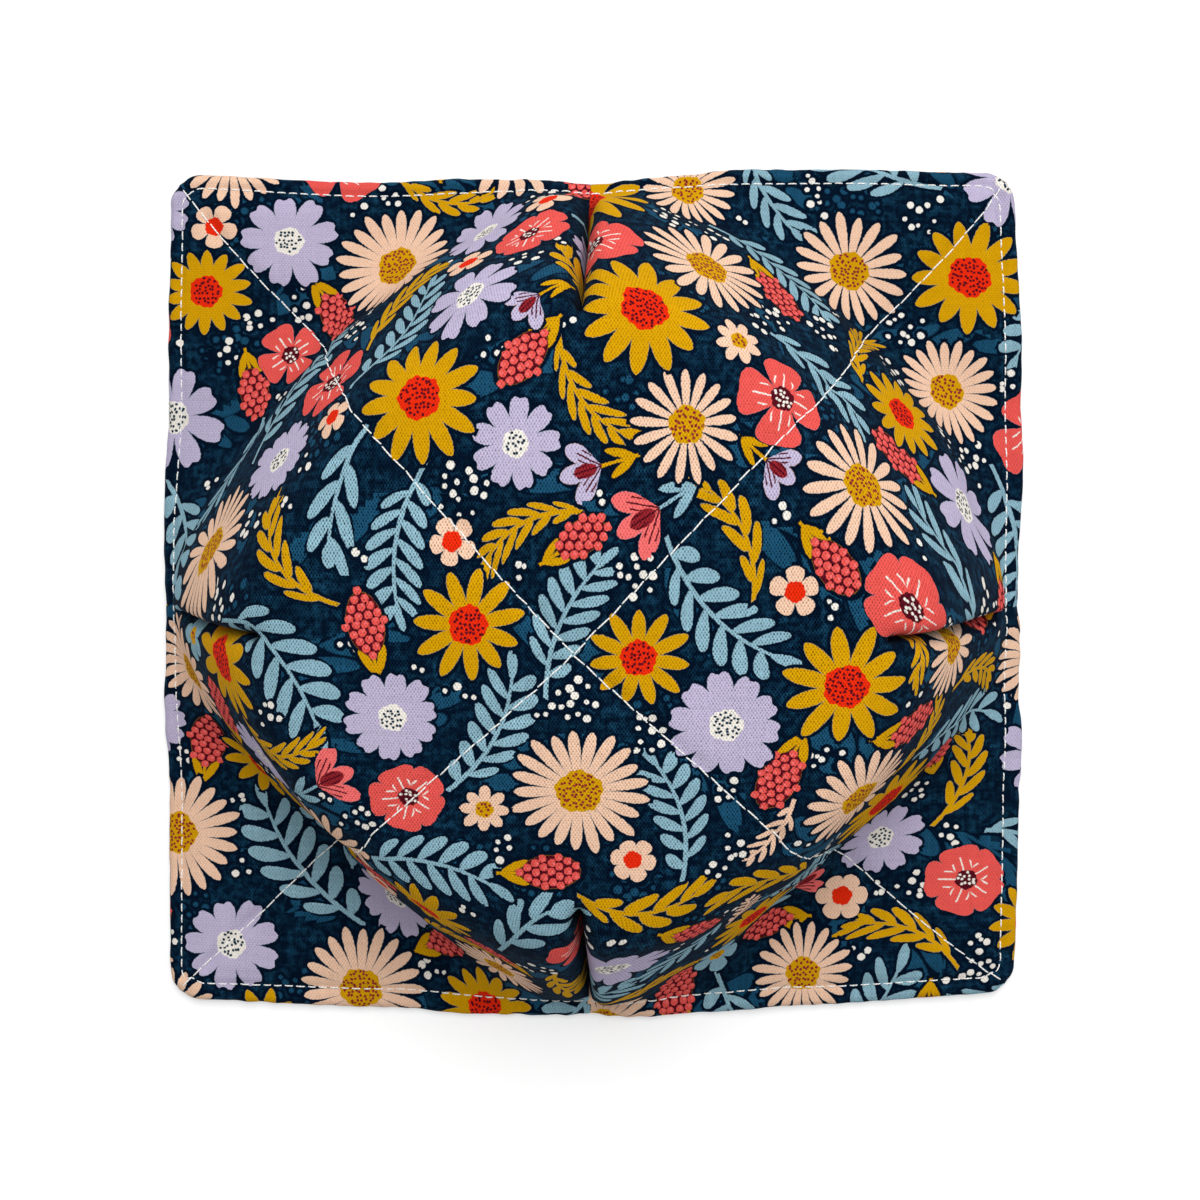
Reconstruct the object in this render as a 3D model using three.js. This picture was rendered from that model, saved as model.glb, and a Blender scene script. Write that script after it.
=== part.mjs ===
import * as THREE from "three";

// A microwave bowl cozy: a quilted cotton square drawn in by a dart at the middle of each side. It lies
// upside down, so its base is a dome, its rim rests on the surface and its four corners flare out flat.
// Millimetres, +Z up, origin under the middle of the bounding box.

// The cloth, as it is cut and sewn
const HALF_SIDE = 120; // half of the finished square, laid flat
const DART_WIDTH = 46; // cloth that a dart takes out of its side
const CORNER_RADIUS = 7;
const CORNER_SHARPNESS = 8; // how soon the rounding fades from the rim inwards
const THICKNESS = 4.5; // two cottons with batting between
const EDGE_THICKNESS = 3.2; // where the topstitching presses the rim
const EDGE_BAND = 9; // width of the pressed rim

// The dome, measured along the cloth from its middle
const DOME_HEIGHT = 52; // from the flared corners' upper face to the top
const CROWN_TILT = THREE.MathUtils.degToRad(9); // slope of the base where it meets the shoulder
const SHOULDER_BEND = 26; // length of cloth that the bend at the shoulder takes
const FOOT_BEND = 17; // the same at the foot, where the flank meets a flared corner
const LEAN = new THREE.Vector2(-1, -4.9); // how far the top stands off the rim's middle
const SIDE_DARTS = { offset: -4.2, width: 40 }; // how far off the middle the west and east darts lie

// Flank by bearing, counter-clockwise from +X: where its two bends are centred, and its slope
const FLANKS = [
  { bearing: 0, shoulder: 67, foot: 124, slope: 62 },
  { bearing: 45, shoulder: 63, foot: 120, slope: 63 },
  { bearing: 90, shoulder: 67, foot: 124, slope: 61 },
  { bearing: 135, shoulder: 64, foot: 118, slope: 67 },
  { bearing: 180, shoulder: 68, foot: 124, slope: 63 },
  { bearing: 225, shoulder: 67, foot: 120, slope: 73 },
  { bearing: 270, shoulder: 65, foot: 124, slope: 63 },
  { bearing: 315, shoulder: 66, foot: 119, slope: 70 },
];

// Darts: length, depth of the sewn valley, swell of the cloth before and after it (counter-clockwise),
// how far that swell leans over the seam (+ from after it, - from before it), and the share of all this
// that the pressed rim keeps
const DARTS = {
  east: { length: 54, valley: 3.4, before: 1.0, after: 2.6, tuck: 3.6, atRim: 0.4 },
  north: { length: 52, valley: 3.2, before: 1.6, after: 1.6, tuck: 1, atRim: 0.1 },
  west: { length: 50, valley: 3.2, before: 2.4, after: 1.0, tuck: -3.6, atRim: 0.25 },
  south: { length: 58, valley: 3.6, before: 1.4, after: 2.4, tuck: 3, atRim: 0.1 },
};

// What all darts share: where the relief starts and is whole about the tip, where the rim presses it,
// and how wide its parts are off the seam
const DART_RELIEF = { before: 8, whole: 12, pressedFrom: 16, pressedTo: 4, valley: 2.6, swell: 8, lean: 14 };
const SEAM_RIDGE = { height: 2, width: 6 }; // the seam allowance, inside

// Distance of the rim from the middle at five even steps along each side, counter-clockwise
const RIM_REACH = {
  east: [99.0, 100.0, 100.8, 99.2, 96.4],
  north: [94.2, 95.7, 95.0, 93.2, 94.8],
  west: [97.3, 98.6, 102.3, 99.9, 100.0],
  south: [98.3, 100.3, 104.6, 98.8, 95.0],
};
const REACH_STARTS = 0.4; // share of the way to the rim where it starts to pull the cloth

// Mesh
const CELLS_PER_HALF = 23;
const CROWDING = [0.42, 0.25]; // how the grid lines crowd at the seams and the rim: in one wave, in two
const PROFILE_STEPS = 40;
const EDGE_STEPS = 4;
const NORMAL_REACH = 1.5; // half of the distance over which a normal is taken
const LEAST = 1e-6; // keeps divisors above zero

const HALF_DART = DART_WIDTH / 2;
const SQUARE_REACH = HALF_SIDE - HALF_DART; // half of the rim's square once the darts are closed
const RIM_LINE = HALF_SIDE - EDGE_THICKNESS / 2; // the grid ends here and the round edge adds the rest
const { smoothstep, lerp, degToRad, clamp } = THREE.MathUtils;

const bell = (distance, width) => Math.exp(-((distance / width) ** 2));
const dartAlong = (sideways, axis) =>
  axis === "x" ? DARTS[sideways < 0 ? "west" : "east"] : DARTS[sideways < 0 ? "south" : "north"];

// Half of what a dart has taken out of the cloth at a distance from the middle
function dartHalfWidth(distance, dart) {
  const tip = HALF_SIDE - dart.length;
  return Math.max(0, (distance - tip) / dart.length) * HALF_DART;
}

// Bearing of a dart's leg where it lies at a distance from the middle, off the dart's own line
function legBearing(distance, dart) {
  const tip = HALF_SIDE - dart.length;
  const a = dart.length ** 2 + HALF_DART ** 2;
  const b = tip * dart.length;
  const c = tip ** 2 - distance ** 2;
  const part = Math.max(0, (Math.sqrt(Math.max(0, b * b - a * c)) - b) / a);
  return Math.atan2(part * HALF_DART, tip + part * dart.length);
}

// Values of the flank at any bearing, eased between the rows of FLANKS
function flankAt(bearing) {
  const place = (((bearing / (Math.PI / 4)) % 8) + 8) % 8;
  const row = FLANKS[Math.floor(place) % 8];
  const next = FLANKS[(Math.floor(place) + 1) % 8];
  const part = smoothstep(place % 1, 0, 1);
  const mix = (name) => lerp(row[name], next[name], part);
  return { shoulder: mix("shoulder"), foot: mix("foot"), slope: degToRad(mix("slope")) };
}

// Slope of the cloth at a length from the middle: crown, shoulder, flank, foot, flat corner
function slopeAt(length, flank) {
  const start = flank.shoulder - SHOULDER_BEND / 2;
  const over = smoothstep(length, start, start + SHOULDER_BEND);
  const level = smoothstep(length, flank.foot - FOOT_BEND / 2, flank.foot + FOOT_BEND / 2);
  const crown = CROWN_TILT * smoothstep(length, 0, start);
  return (crown + (flank.slope - crown) * over) * (1 - level);
}

// Run and drop of the profile from the middle to a length of cloth
function profile(length, flank) {
  const bent = Math.min(length, flank.foot + FOOT_BEND / 2);
  const step = bent / PROFILE_STEPS;
  let run = length - bent;
  let drop = 0;
  for (let i = 0; i < PROFILE_STEPS; i += 1) {
    const slope = slopeAt((i + 0.5) * step, flank);
    run += Math.cos(slope) * step;
    drop += Math.sin(slope) * step;
  }
  return { run, drop };
}

// Length of cloth from the middle to the rim at a bearing of the closed square
function rimLength(bearing) {
  const fold = bearing % (Math.PI / 2);
  const off = Math.min(fold, Math.PI / 2 - fold);
  return Math.hypot(HALF_SIDE, HALF_DART + SQUARE_REACH * Math.tan(off));
}

// Rounds the corners of the grid's outer rings
function roundedCorner(x, y) {
  const ring = Math.max(x, y);
  const radius = Math.max(LEAST, CORNER_RADIUS * (ring / RIM_LINE) ** CORNER_SHARPNESS);
  const start = ring - radius;
  if (Math.min(x, y) <= start) return [x, y];
  const turn = (((Math.min(x, y) - start) / radius) * Math.PI) / 4;
  const along = start + radius * Math.sin(turn);
  const across = start + radius * Math.cos(turn);
  return x >= y ? [across, along] : [along, across];
}

// How far the rim reaches at a place along a side, eased between its even steps
function reachAt(steps, along) {
  const last = steps.length - 1;
  const place = clamp(((along / SQUARE_REACH + 1) / 2) * last, 0, last - LEAST);
  const step = Math.floor(place);
  return lerp(steps[step], steps[step + 1], smoothstep(place - step, 0, 1)) / SQUARE_REACH;
}

// Pulls a place in plan towards the uneven rim, most of all near that rim
function unevenRim(x, y) {
  const stepsX = x < 0 ? RIM_REACH.west : RIM_REACH.east;
  const stepsY = y < 0 ? RIM_REACH.south : RIM_REACH.north;
  const pull = (distance, reach) =>
    distance * lerp(1, reach, smoothstep(Math.abs(distance), SQUARE_REACH * REACH_STARTS, SQUARE_REACH));
  return [
    pull(x, reachAt(stepsX, x < 0 ? -y : y)),
    pull(y, reachAt(stepsY, y < 0 ? x : -x)),
  ];
}

// The smooth upper face. x and y are places on the square whose darts are already closed: the cloth
// there is found on the flat pattern, and its length and bearing from the middle place it on the dome.
function upperFace(x, y) {
  const [ax, ay] = roundedCorner(Math.abs(x), Math.abs(y));
  const dartX = dartAlong(x, "x");
  const dartY = dartAlong(y, "y");
  const takenX = dartHalfWidth(ay, dartY);
  const takenY = dartHalfWidth(ax, dartX);
  const clothX = takenX + ax * (1 - takenX / HALF_SIDE);
  const clothY = takenY + ay * (1 - takenY / HALF_SIDE);
  const length = Math.hypot(clothX, clothY);

  const legX = legBearing(length, dartX);
  const legY = legBearing(length, dartY);
  const share = (Math.atan2(clothY, clothX) - legX) / (Math.PI / 2 - legX - legY);
  const quarter = length > 0 ? (clamp(share, 0, 1) * Math.PI) / 2 : 0;
  const signX = x < 0 ? -1 : 1;
  const signY = y < 0 ? -1 : 1;
  const bearing = Math.atan2(signY * Math.sin(quarter), signX * Math.cos(quarter));

  const flank = flankAt(bearing);
  const { run, drop } = profile(length, flank);
  const flat = smoothstep(length, flank.foot - FOOT_BEND, flank.foot + FOOT_BEND / 2);
  const planX = signX * lerp(run * Math.cos(quarter), clothX - HALF_DART, flat);
  const planY = signY * lerp(run * Math.sin(quarter), clothY - HALF_DART, flat);
  const whole = profile(rimLength(quarter), flank).drop;
  const rise = clamp(1 - drop / whole, 0, 1);

  const [rimX, rimY] = unevenRim(planX, planY);
  const aside = SIDE_DARTS.offset * bell(rimY, SIDE_DARTS.width);
  return new THREE.Vector3(
    rimX + LEAN.x * rise,
    rimY + aside + LEAN.y * rise,
    THICKNESS + DOME_HEIGHT * rise,
  );
}

// Outward normal of the smooth upper face
function upperNormal(x, y) {
  const held = (value) => clamp(value, -RIM_LINE, RIM_LINE);
  const alongX = upperFace(held(x + NORMAL_REACH), y).sub(upperFace(held(x - NORMAL_REACH), y));
  const alongY = upperFace(x, held(y + NORMAL_REACH)).sub(upperFace(x, held(y - NORMAL_REACH)));
  return alongX.cross(alongY).normalize();
}

// Relief of one dart at a distance along its line and a signed distance off it: the sewn valley, the
// swell on both sides, the sideways lean of the fuller one, and the seam's ridge inside
function dartRelief(along, off, dart) {
  const tip = HALF_SIDE - dart.length;
  const relief = DART_RELIEF;
  const sewn = smoothstep(along, tip - relief.before, tip + relief.whole);
  const pressed = smoothstep(along, RIM_LINE - relief.pressedFrom, RIM_LINE - relief.pressedTo);
  const strength = sewn * lerp(1, dart.atRim, pressed);
  const away = Math.abs(off) / relief.swell;
  const swell = (off > 0 ? dart.after : dart.before) * (away * Math.exp(1 - away)) ** 2;
  const lean = Math.sin(Math.PI * Math.min(1, Math.abs(off) / relief.lean));
  const leans = off * dart.tuck > 0;
  return {
    out: strength * (swell - dart.valley * bell(off, relief.valley)),
    aside: leans ? -strength * dart.tuck * lean : 0,
    ridge: strength * SEAM_RIDGE.height * bell(off, SEAM_RIDGE.width),
  };
}

// Both faces of the cloth at one place of the grid
function clothAt(x, y) {
  const face = upperFace(x, y);
  const normal = upperNormal(x, y);
  const outer = face.clone();
  const inner = face.clone().addScaledVector(normal, -THICKNESS);
  const edge = smoothstep(Math.max(Math.abs(x), Math.abs(y)), RIM_LINE - EDGE_BAND, RIM_LINE);
  outer.addScaledVector(normal, (EDGE_THICKNESS - THICKNESS) * edge);

  const reliefX = dartRelief(Math.abs(x), x < 0 ? -y : y, dartAlong(x, "x"));
  const reliefY = dartRelief(Math.abs(y), y < 0 ? x : -x, dartAlong(y, "y"));
  outer.addScaledVector(normal, reliefX.out + reliefY.out);
  outer.y += reliefX.aside * Math.sign(x);
  outer.x -= reliefY.aside * Math.sign(y);
  inner.addScaledVector(normal, -(reliefX.ridge + reliefY.ridge));
  inner.z = Math.max(0, inner.z);
  return { outer, inner };
}

// Grid line of a step from -CELLS_PER_HALF to CELLS_PER_HALF
function gridLine(step) {
  const part = Math.abs(step) / CELLS_PER_HALF;
  const wave = (waves) => Math.sin(2 * Math.PI * waves * part) / (2 * Math.PI * waves);
  return Math.sign(step) * RIM_LINE * (part - CROWDING[0] * wave(1) - CROWDING[1] * wave(2));
}

// Steps of the grid around the rim, counter-clockwise from the south-west corner
function rimSteps() {
  const half = CELLS_PER_HALF;
  const steps = [];
  for (let i = -half; i < half; i += 1) steps.push([i, -half]);
  for (let i = -half; i < half; i += 1) steps.push([half, i]);
  for (let i = half; i > -half; i -= 1) steps.push([i, half]);
  for (let i = half; i > -half; i -= 1) steps.push([-half, i]);
  return steps;
}

// The quilted cloth as one closed body: upper face, lower face and the round edge between them
function quiltedCloth() {
  const half = CELLS_PER_HALF;
  const side = 2 * half + 1;
  const places = [];
  const triangles = [];
  const outerAt = (i, j) => (i + half) * side + (j + half);
  const innerAt = (i, j) => side * side + outerAt(i, j);

  const cloth = [];
  for (let i = -half; i <= half; i += 1) {
    for (let j = -half; j <= half; j += 1) cloth.push(clothAt(gridLine(i), gridLine(j)));
  }
  cloth.forEach(({ outer }) => places.push(outer));
  cloth.forEach(({ inner }) => places.push(inner));

  for (let i = -half; i < half; i += 1) {
    for (let j = -half; j < half; j += 1) {
      const sameSigns = i >= 0 === j >= 0; // cells are cut across the line from the middle to a corner
      const [a, b, c, d] = [[i, j], [i + 1, j], [i + 1, j + 1], [i, j + 1]];
      const cut = sameSigns ? [[b, c, d], [b, d, a]] : [[a, b, c], [a, c, d]];
      for (const [p, q, r] of cut) {
        triangles.push(outerAt(...p), outerAt(...q), outerAt(...r));
        triangles.push(innerAt(...p), innerAt(...r), innerAt(...q));
      }
    }
  }

  const rim = rimSteps();
  const rings = rim.map(([i, j]) => {
    const outer = places[outerAt(i, j)];
    const inner = places[innerAt(i, j)];
    const back = [i, j].map((step) => (Math.abs(step) === half ? step - Math.sign(step) : step));
    const middle = outer.clone().add(inner).multiplyScalar(0.5);
    const up = outer.clone().sub(middle);
    const out = outer.clone().sub(places[outerAt(...back)]);
    out.addScaledVector(up, -out.dot(up) / up.lengthSq()).setLength(up.length());
    const ring = [outerAt(i, j)];
    for (let k = 1; k < EDGE_STEPS; k += 1) {
      const turn = (k / EDGE_STEPS) * Math.PI;
      const place = middle.clone();
      place.addScaledVector(up, Math.cos(turn)).addScaledVector(out, Math.sin(turn));
      place.z = Math.max(0, place.z);
      ring.push(places.push(place) - 1);
    }
    return [...ring, innerAt(i, j)];
  });
  rings.forEach((ring, n) => {
    const next = rings[(n + 1) % rings.length];
    for (let k = 0; k < EDGE_STEPS; k += 1) {
      triangles.push(ring[k], ring[k + 1], next[k + 1], ring[k], next[k + 1], next[k]);
    }
  });

  return centred(new THREE.BufferGeometry().setFromPoints(places).setIndex(triangles));
}

// The geometry with its origin under the middle of its box
function centred(geometry) {
  geometry.computeBoundingBox();
  const middle = geometry.boundingBox.getCenter(new THREE.Vector3());
  geometry.translate(-middle.x, -middle.y, -geometry.boundingBox.min.z);
  geometry.computeVertexNormals();
  return geometry;
}

const printedCotton = new THREE.MeshStandardMaterial({ color: 0x16344c, roughness: 0.85, metalness: 0 });
const cozy = new THREE.Mesh(quiltedCloth(), printedCotton);
cozy.name = "quilted_cozy";

const part = new THREE.Group();
part.add(cozy);
export default part;
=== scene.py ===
"""A microwave bowl cozy of quilted cotton, lying upside down on a pale surface.

The base of the bowl is a dome, the rim rests on the surface and the four corners flare out flat. The
cloth is one closed shell worked out from its flat pattern, the print is packed on that flat pattern, and
the quilting and the topstitching are separate stitches. Shapes are worked out in millimetres and put
into the meshes in metres.
"""

import logging
import math
from dataclasses import dataclass
from enum import Enum, IntEnum
from typing import Callable, NamedTuple, Sequence, Union

import bpy
import numpy as np
from mathutils import Matrix, Vector


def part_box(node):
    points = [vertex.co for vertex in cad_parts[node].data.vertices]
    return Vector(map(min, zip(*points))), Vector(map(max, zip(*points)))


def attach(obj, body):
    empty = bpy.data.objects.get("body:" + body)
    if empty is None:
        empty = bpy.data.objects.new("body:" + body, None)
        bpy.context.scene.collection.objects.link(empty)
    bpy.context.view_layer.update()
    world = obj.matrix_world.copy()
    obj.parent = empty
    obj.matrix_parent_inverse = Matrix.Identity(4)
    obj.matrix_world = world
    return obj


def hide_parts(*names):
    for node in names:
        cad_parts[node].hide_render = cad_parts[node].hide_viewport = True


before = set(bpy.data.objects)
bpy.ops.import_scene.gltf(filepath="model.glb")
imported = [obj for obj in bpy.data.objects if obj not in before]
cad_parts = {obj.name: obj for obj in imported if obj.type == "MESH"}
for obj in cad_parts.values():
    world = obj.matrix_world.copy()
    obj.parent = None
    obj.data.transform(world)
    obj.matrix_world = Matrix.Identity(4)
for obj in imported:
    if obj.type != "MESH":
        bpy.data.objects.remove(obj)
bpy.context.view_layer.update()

MM = 0.001
TURN = 2.0 * math.pi
RIGHT_ANGLE = math.pi / 2.0
WHITE = (1.0, 1.0, 1.0, 1.0)
COZY_NODE = "quilted_cozy"
BODY = "root"

Array = np.ndarray
Socket = bpy.types.NodeSocket
Tree = bpy.types.NodeTree
Material = bpy.types.Material
Piece = bpy.types.Object

log = logging.getLogger("cozy")


def eased(value: Array, low: float, high: float) -> Array:
    """Smoothstep: 0 below low, 1 above high and 3t^2 - 2t^3 between."""
    part = np.clip((value - low) / (high - low), 0.0, 1.0)
    return part * part * (3.0 - 2.0 * part)


def blended(first: Array, second: Array, part: Array) -> Array:
    """The straight mix of two values: first where part is 0 and second where it is 1."""
    return first + (second - first) * part


def bell(value: Array, width: float) -> Array:
    """A bell over 0: e to the minus square of the value over its width."""
    return np.exp(-((value / width) ** 2))


def unit(vectors: Array) -> Array:
    """Vectors in the last axis, each divided by its length."""
    return vectors / np.linalg.norm(vectors, axis=-1, keepdims=True)


# --- The cloth's form ---


class Ripples(NamedTuple):
    """Soft seeded unevenness, by its height and its middle wavelength in mm."""

    height: float
    length: float
    seed: int
    waves: int = 12

    def over(self, x: Array, y: Array) -> Array:
        """Its heights: the mean of plane sine waves in random directions.

        Args:
            x, y: Places on the cloth.

        Returns:
            Heights, roughly from minus to plus its own.
        """
        random = np.random.default_rng(self.seed)
        turn = random.uniform(0.0, TURN, self.waves)
        phase = random.uniform(0.0, TURN, self.waves)
        number = TURN / (self.length * random.uniform(0.75, 1.35, self.waves))
        across = np.multiply.outer(x, np.cos(turn) * number) + np.multiply.outer(y, np.sin(turn) * number)
        return self.height * (np.sin(across + phase).sum(axis=-1) / math.sqrt(self.waves / 2.0) / 2.0)


class Dart(NamedTuple):
    """One sewn dart: its length and the relief beside its seam, in mm."""

    length: float
    valley: float
    before: float
    after: float
    tuck: float
    slit: float


@dataclass(frozen=True)
class Darts:
    """The darts at the middle of the four sides."""

    east: Dart = Dart(54.0, 3.4, 1.0, 2.6, 3.6, 0.55)
    north: Dart = Dart(52.0, 3.2, 1.7, 1.8, -0.9, 0.5)
    west: Dart = Dart(50.0, 3.2, 2.4, 1.0, -3.6, 0.55)
    south: Dart = Dart(58.0, 3.6, 1.6, 2.4, 1.6, 0.8)

    def across(self, name: str, negative: Array, along_x: bool) -> Array:
        """One value of the darts along an axis, by the side of the middle that each place is on."""
        low, high = (self.west, self.east) if along_x else (self.south, self.north)
        return np.where(negative, getattr(low, name), getattr(high, name))


@dataclass(frozen=True)
class RimReach:
    """Distance of the rim from the middle, in mm, at five even steps along each side."""

    east: tuple = (99.0, 100.0, 100.8, 99.2, 96.4)
    north: tuple = (94.2, 95.7, 95.0, 93.2, 94.8)
    west: tuple = (97.3, 98.6, 102.3, 99.9, 100.0)
    south: tuple = (98.3, 100.3, 104.6, 98.8, 95.0)


# The flank's shoulder and foot, in mm of cloth, and its slope in degrees, each eighth of a turn from +X
FLANKS = np.array(
    [(67, 124, 62), (63, 120, 63), (67, 124, 61), (64, 118, 67)]
    + [(68, 124, 63), (67, 120, 73), (65, 124, 63), (66, 119, 70)],
    float,
)


@dataclass(frozen=True)
class ClothForm:
    """The quilted square as it is cut, sewn and bent over a bowl's base, in mm.

    A place on it is an x and a y on the square whose darts are closed, from the middle.
    """

    half_side: float = 120.0
    half_dart: float = 23.0
    corner_radius: float = 7.0
    corner_sharpness: float = 8.0
    thickness: float = 4.5
    edge_thickness: float = 3.2
    edge_band: float = 9.0
    dome_height: float = 52.0
    crown_tilt: float = math.radians(9.0)
    shoulder_bend: float = 26.0
    foot_bend: float = 17.0
    lean: tuple = (-1.0, -4.9)
    side_offset: float = -4.2
    side_offset_width: float = 40.0
    pull_start: float = 0.4
    profile_steps: int = 40
    normal_reach: float = 1.5
    swell_width: float = 8.0
    valley_width: float = 2.6
    slit_depth: float = 4.0
    tip_hole: float = 1.3
    hole_place: float = 1.5
    hole_width: float = 1.7
    dart_start: tuple = (-8.0, 12.0)
    slit_start: tuple = (-2.5, 0.5)
    dart_end: tuple = (10.0, 2.5)
    tuck_width: float = 14.0
    ridge: float = 4.5
    ridge_width: float = 6.0
    quilting_groove: float = 0.9
    quilting_groove_width: float = 1.9
    quilting_end: tuple = (2.0, 9.0)
    topstitch_groove: float = 0.45
    topstitch_groove_width: float = 1.0
    flank_start: tuple = (45.0, 75.0)
    flank_end: tuple = (120.0, 140.0)
    pucker_reach: float = 7.0
    puckers: Ripples = Ripples(0.22, 8.0, 5)
    rim_puckers: Ripples = Ripples(0.2, 7.0, 9)
    wrinkles: Ripples = Ripples(0.75, 34.0, 21)
    long_wrinkles: Ripples = Ripples(0.3, 52.0, 33)
    darts: Darts = Darts()
    reach: RimReach = RimReach()
    quilting_centre: tuple = (-0.8, -2.0)
    quilting_bows: tuple = (-4.0, 3.5, 0.0, -2.5)
    stitch_insets: tuple = (2.4, 1.9, 1.7, 3.1)

    @property
    def square_reach(self) -> float:
        """Half of the rim's square once the darts are closed."""
        return self.half_side - self.half_dart

    @property
    def rim_line(self) -> float:
        """Where the grid ends; the round edge adds the rest."""
        return self.half_side - self.edge_thickness / 2.0

    @property
    def stitch_reach(self) -> Array:
        """How far out the topstitching lies to the east, north, west and south."""
        return self.rim_line - np.array(self.stitch_insets)

    def rounded(self, x: Array, y: Array) -> tuple[Array, Array]:
        """Rounds the corners of the grid's outer rings: each ring's corner becomes a quarter circle.

        Args:
            x, y: Distances from the middle, not negative.

        Returns:
            The rounded distances.
        """
        ring = np.maximum(x, y)
        low = np.minimum(x, y)
        radius = np.maximum(1e-6, self.corner_radius * (ring / self.rim_line) ** self.corner_sharpness)
        start = ring - radius
        turn = np.clip((low - start) / radius, 0.0, 1.0) * math.pi / 4.0
        straight = low <= start
        across = np.where(straight, ring, start + radius * np.cos(turn))
        along = np.where(straight, low, start + radius * np.sin(turn))
        return np.where(x >= y, across, along), np.where(x >= y, along, across)

    def taken(self, distance: Array, length: Array) -> Array:
        """Half of what a dart has taken out of the cloth: nothing up to its tip, then growing evenly."""
        tip = self.half_side - length
        return np.maximum(0.0, (distance - tip) / length) * self.half_dart

    def leg_bearing(self, distance: Array, length: Array) -> Array:
        """Bearing of a dart's leg off the dart's own line, where the leg lies at a distance.

        The leg's point is the tip plus a part of the leg, and the quadratic gives the part whose
        distance from the middle is the one asked for.

        Args:
            distance: Length of cloth from the middle.
            length: The dart's length.

        Returns:
            Angles in radians.
        """
        tip = self.half_side - length
        a = length**2 + self.half_dart**2
        b = tip * length
        c = tip**2 - distance**2
        part = np.maximum(0.0, (np.sqrt(np.maximum(0.0, b * b - a * c)) - b) / a)
        return np.arctan2(part * self.half_dart, tip + part * length)

    @staticmethod
    def flank(bearing: Array) -> tuple[Array, Array, Array]:
        """The flank's shoulder, foot and slope in radians at a bearing, eased between its rows.

        Args:
            bearing: Angles in radians, counter-clockwise from +X.

        Returns:
            The three values.
        """
        rows = len(FLANKS)
        place = (bearing / (TURN / rows)) % rows
        row = np.floor(place).astype(int) % rows
        part = eased(place % 1.0, 0.0, 1.0)
        mixed = blended(FLANKS[row], FLANKS[(row + 1) % rows], part[..., None])
        return mixed[..., 0], mixed[..., 1], np.radians(mixed[..., 2])

    def profile(self, length: Array, flank: tuple) -> tuple[Array, Array]:
        """Run outwards and drop from the top at a length of cloth from the middle.

        The slope is the crown's, then the flank's, then nothing, eased over the shoulder's and the
        foot's bends. Its cosine and sine are summed with the midpoint rule, and past the foot the
        cloth runs level.

        Args:
            length: Length of cloth from the middle.
            flank: Shoulder, foot and slope.

        Returns:
            Run and drop.
        """
        shoulder, foot, flank_slope = flank
        start = shoulder - self.shoulder_bend / 2.0
        bent = np.minimum(length, foot + self.foot_bend / 2.0)
        step = bent / self.profile_steps
        run = length - bent
        drop = np.zeros_like(run)
        for i in range(self.profile_steps):
            at = (i + 0.5) * step
            over = eased(at, start, start + self.shoulder_bend)
            level = eased(at, foot - self.foot_bend / 2.0, foot + self.foot_bend / 2.0)
            crown = self.crown_tilt * eased(at, 0.0, start)
            slope = (crown + (flank_slope - crown) * over) * (1.0 - level)
            run = run + np.cos(slope) * step
            drop = drop + np.sin(slope) * step
        return run, drop

    def pulled(self, away: Array, along: Array, low: tuple, high: tuple) -> Array:
        """A distance in plan, stretched to the uneven rim's reach as it nears the rim.

        Args:
            away: The distance.
            along: Place along the side.
            low, high: The rim's reach in steps along the negative and the positive side.

        Returns:
            The stretched distance, with the reach eased between its steps.
        """
        steps = np.where((away < 0)[..., None], np.array(low), np.array(high))
        place = np.clip((along / self.square_reach + 1.0) * 2.0, 0.0, 3.9999)
        step = np.floor(place).astype(int)
        first = np.take_along_axis(steps, step[..., None], -1)[..., 0]
        second = np.take_along_axis(steps, step[..., None] + 1, -1)[..., 0]
        wanted = blended(first, second, eased(place - step, 0.0, 1.0)) / self.square_reach
        near = eased(np.abs(away), self.square_reach * self.pull_start, self.square_reach)
        return away * blended(1.0, wanted, near)

    def flat_place(self, x: Array, y: Array, sign_x: Array, sign_y: Array) -> Array:
        """Place on the flat pattern, with two values in the last axis.

        Each distance shrinks towards the dart that crosses it and gives that dart its width back.

        Args:
            x, y: Places.
            sign_x, sign_y: 1 or -1 for the quarter's sides.

        Returns:
            Flat places.
        """
        ax, ay = self.rounded(np.abs(x), np.abs(y))
        taken_x = self.taken(ay, self.darts.across("length", sign_y < 0, along_x=False))
        taken_y = self.taken(ax, self.darts.across("length", sign_x < 0, along_x=True))
        flat_x = taken_x + ax * (1.0 - taken_x / self.half_side)
        flat_y = taken_y + ay * (1.0 - taken_y / self.half_side)
        return np.stack([sign_x * flat_x, sign_y * flat_y], axis=-1)

    def upper(self, x: Array, y: Array) -> Array:
        """Points of the smooth upper face.

        The cloth there is found on the flat pattern, and its length and bearing from the middle place
        it on the dome. Past the foot the corner keeps its flat shape, moved in by half a dart.

        Args:
            x, y: Places.

        Returns:
            Points, with three values in the last axis.
        """
        sign_x = np.where(x < 0, -1.0, 1.0)
        sign_y = np.where(y < 0, -1.0, 1.0)
        flat = np.abs(self.flat_place(x, y, sign_x, sign_y))
        flat_x, flat_y = flat[..., 0], flat[..., 1]
        length = np.hypot(flat_x, flat_y)
        leg_x = self.leg_bearing(length, self.darts.across("length", x < 0, along_x=True))
        leg_y = self.leg_bearing(length, self.darts.across("length", y < 0, along_x=False))
        share = (np.arctan2(flat_y, flat_x) - leg_x) / (RIGHT_ANGLE - leg_x - leg_y)
        quarter = np.clip(share, 0.0, 1.0) * RIGHT_ANGLE
        bearing = np.arctan2(sign_y * np.sin(quarter), sign_x * np.cos(quarter))

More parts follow.
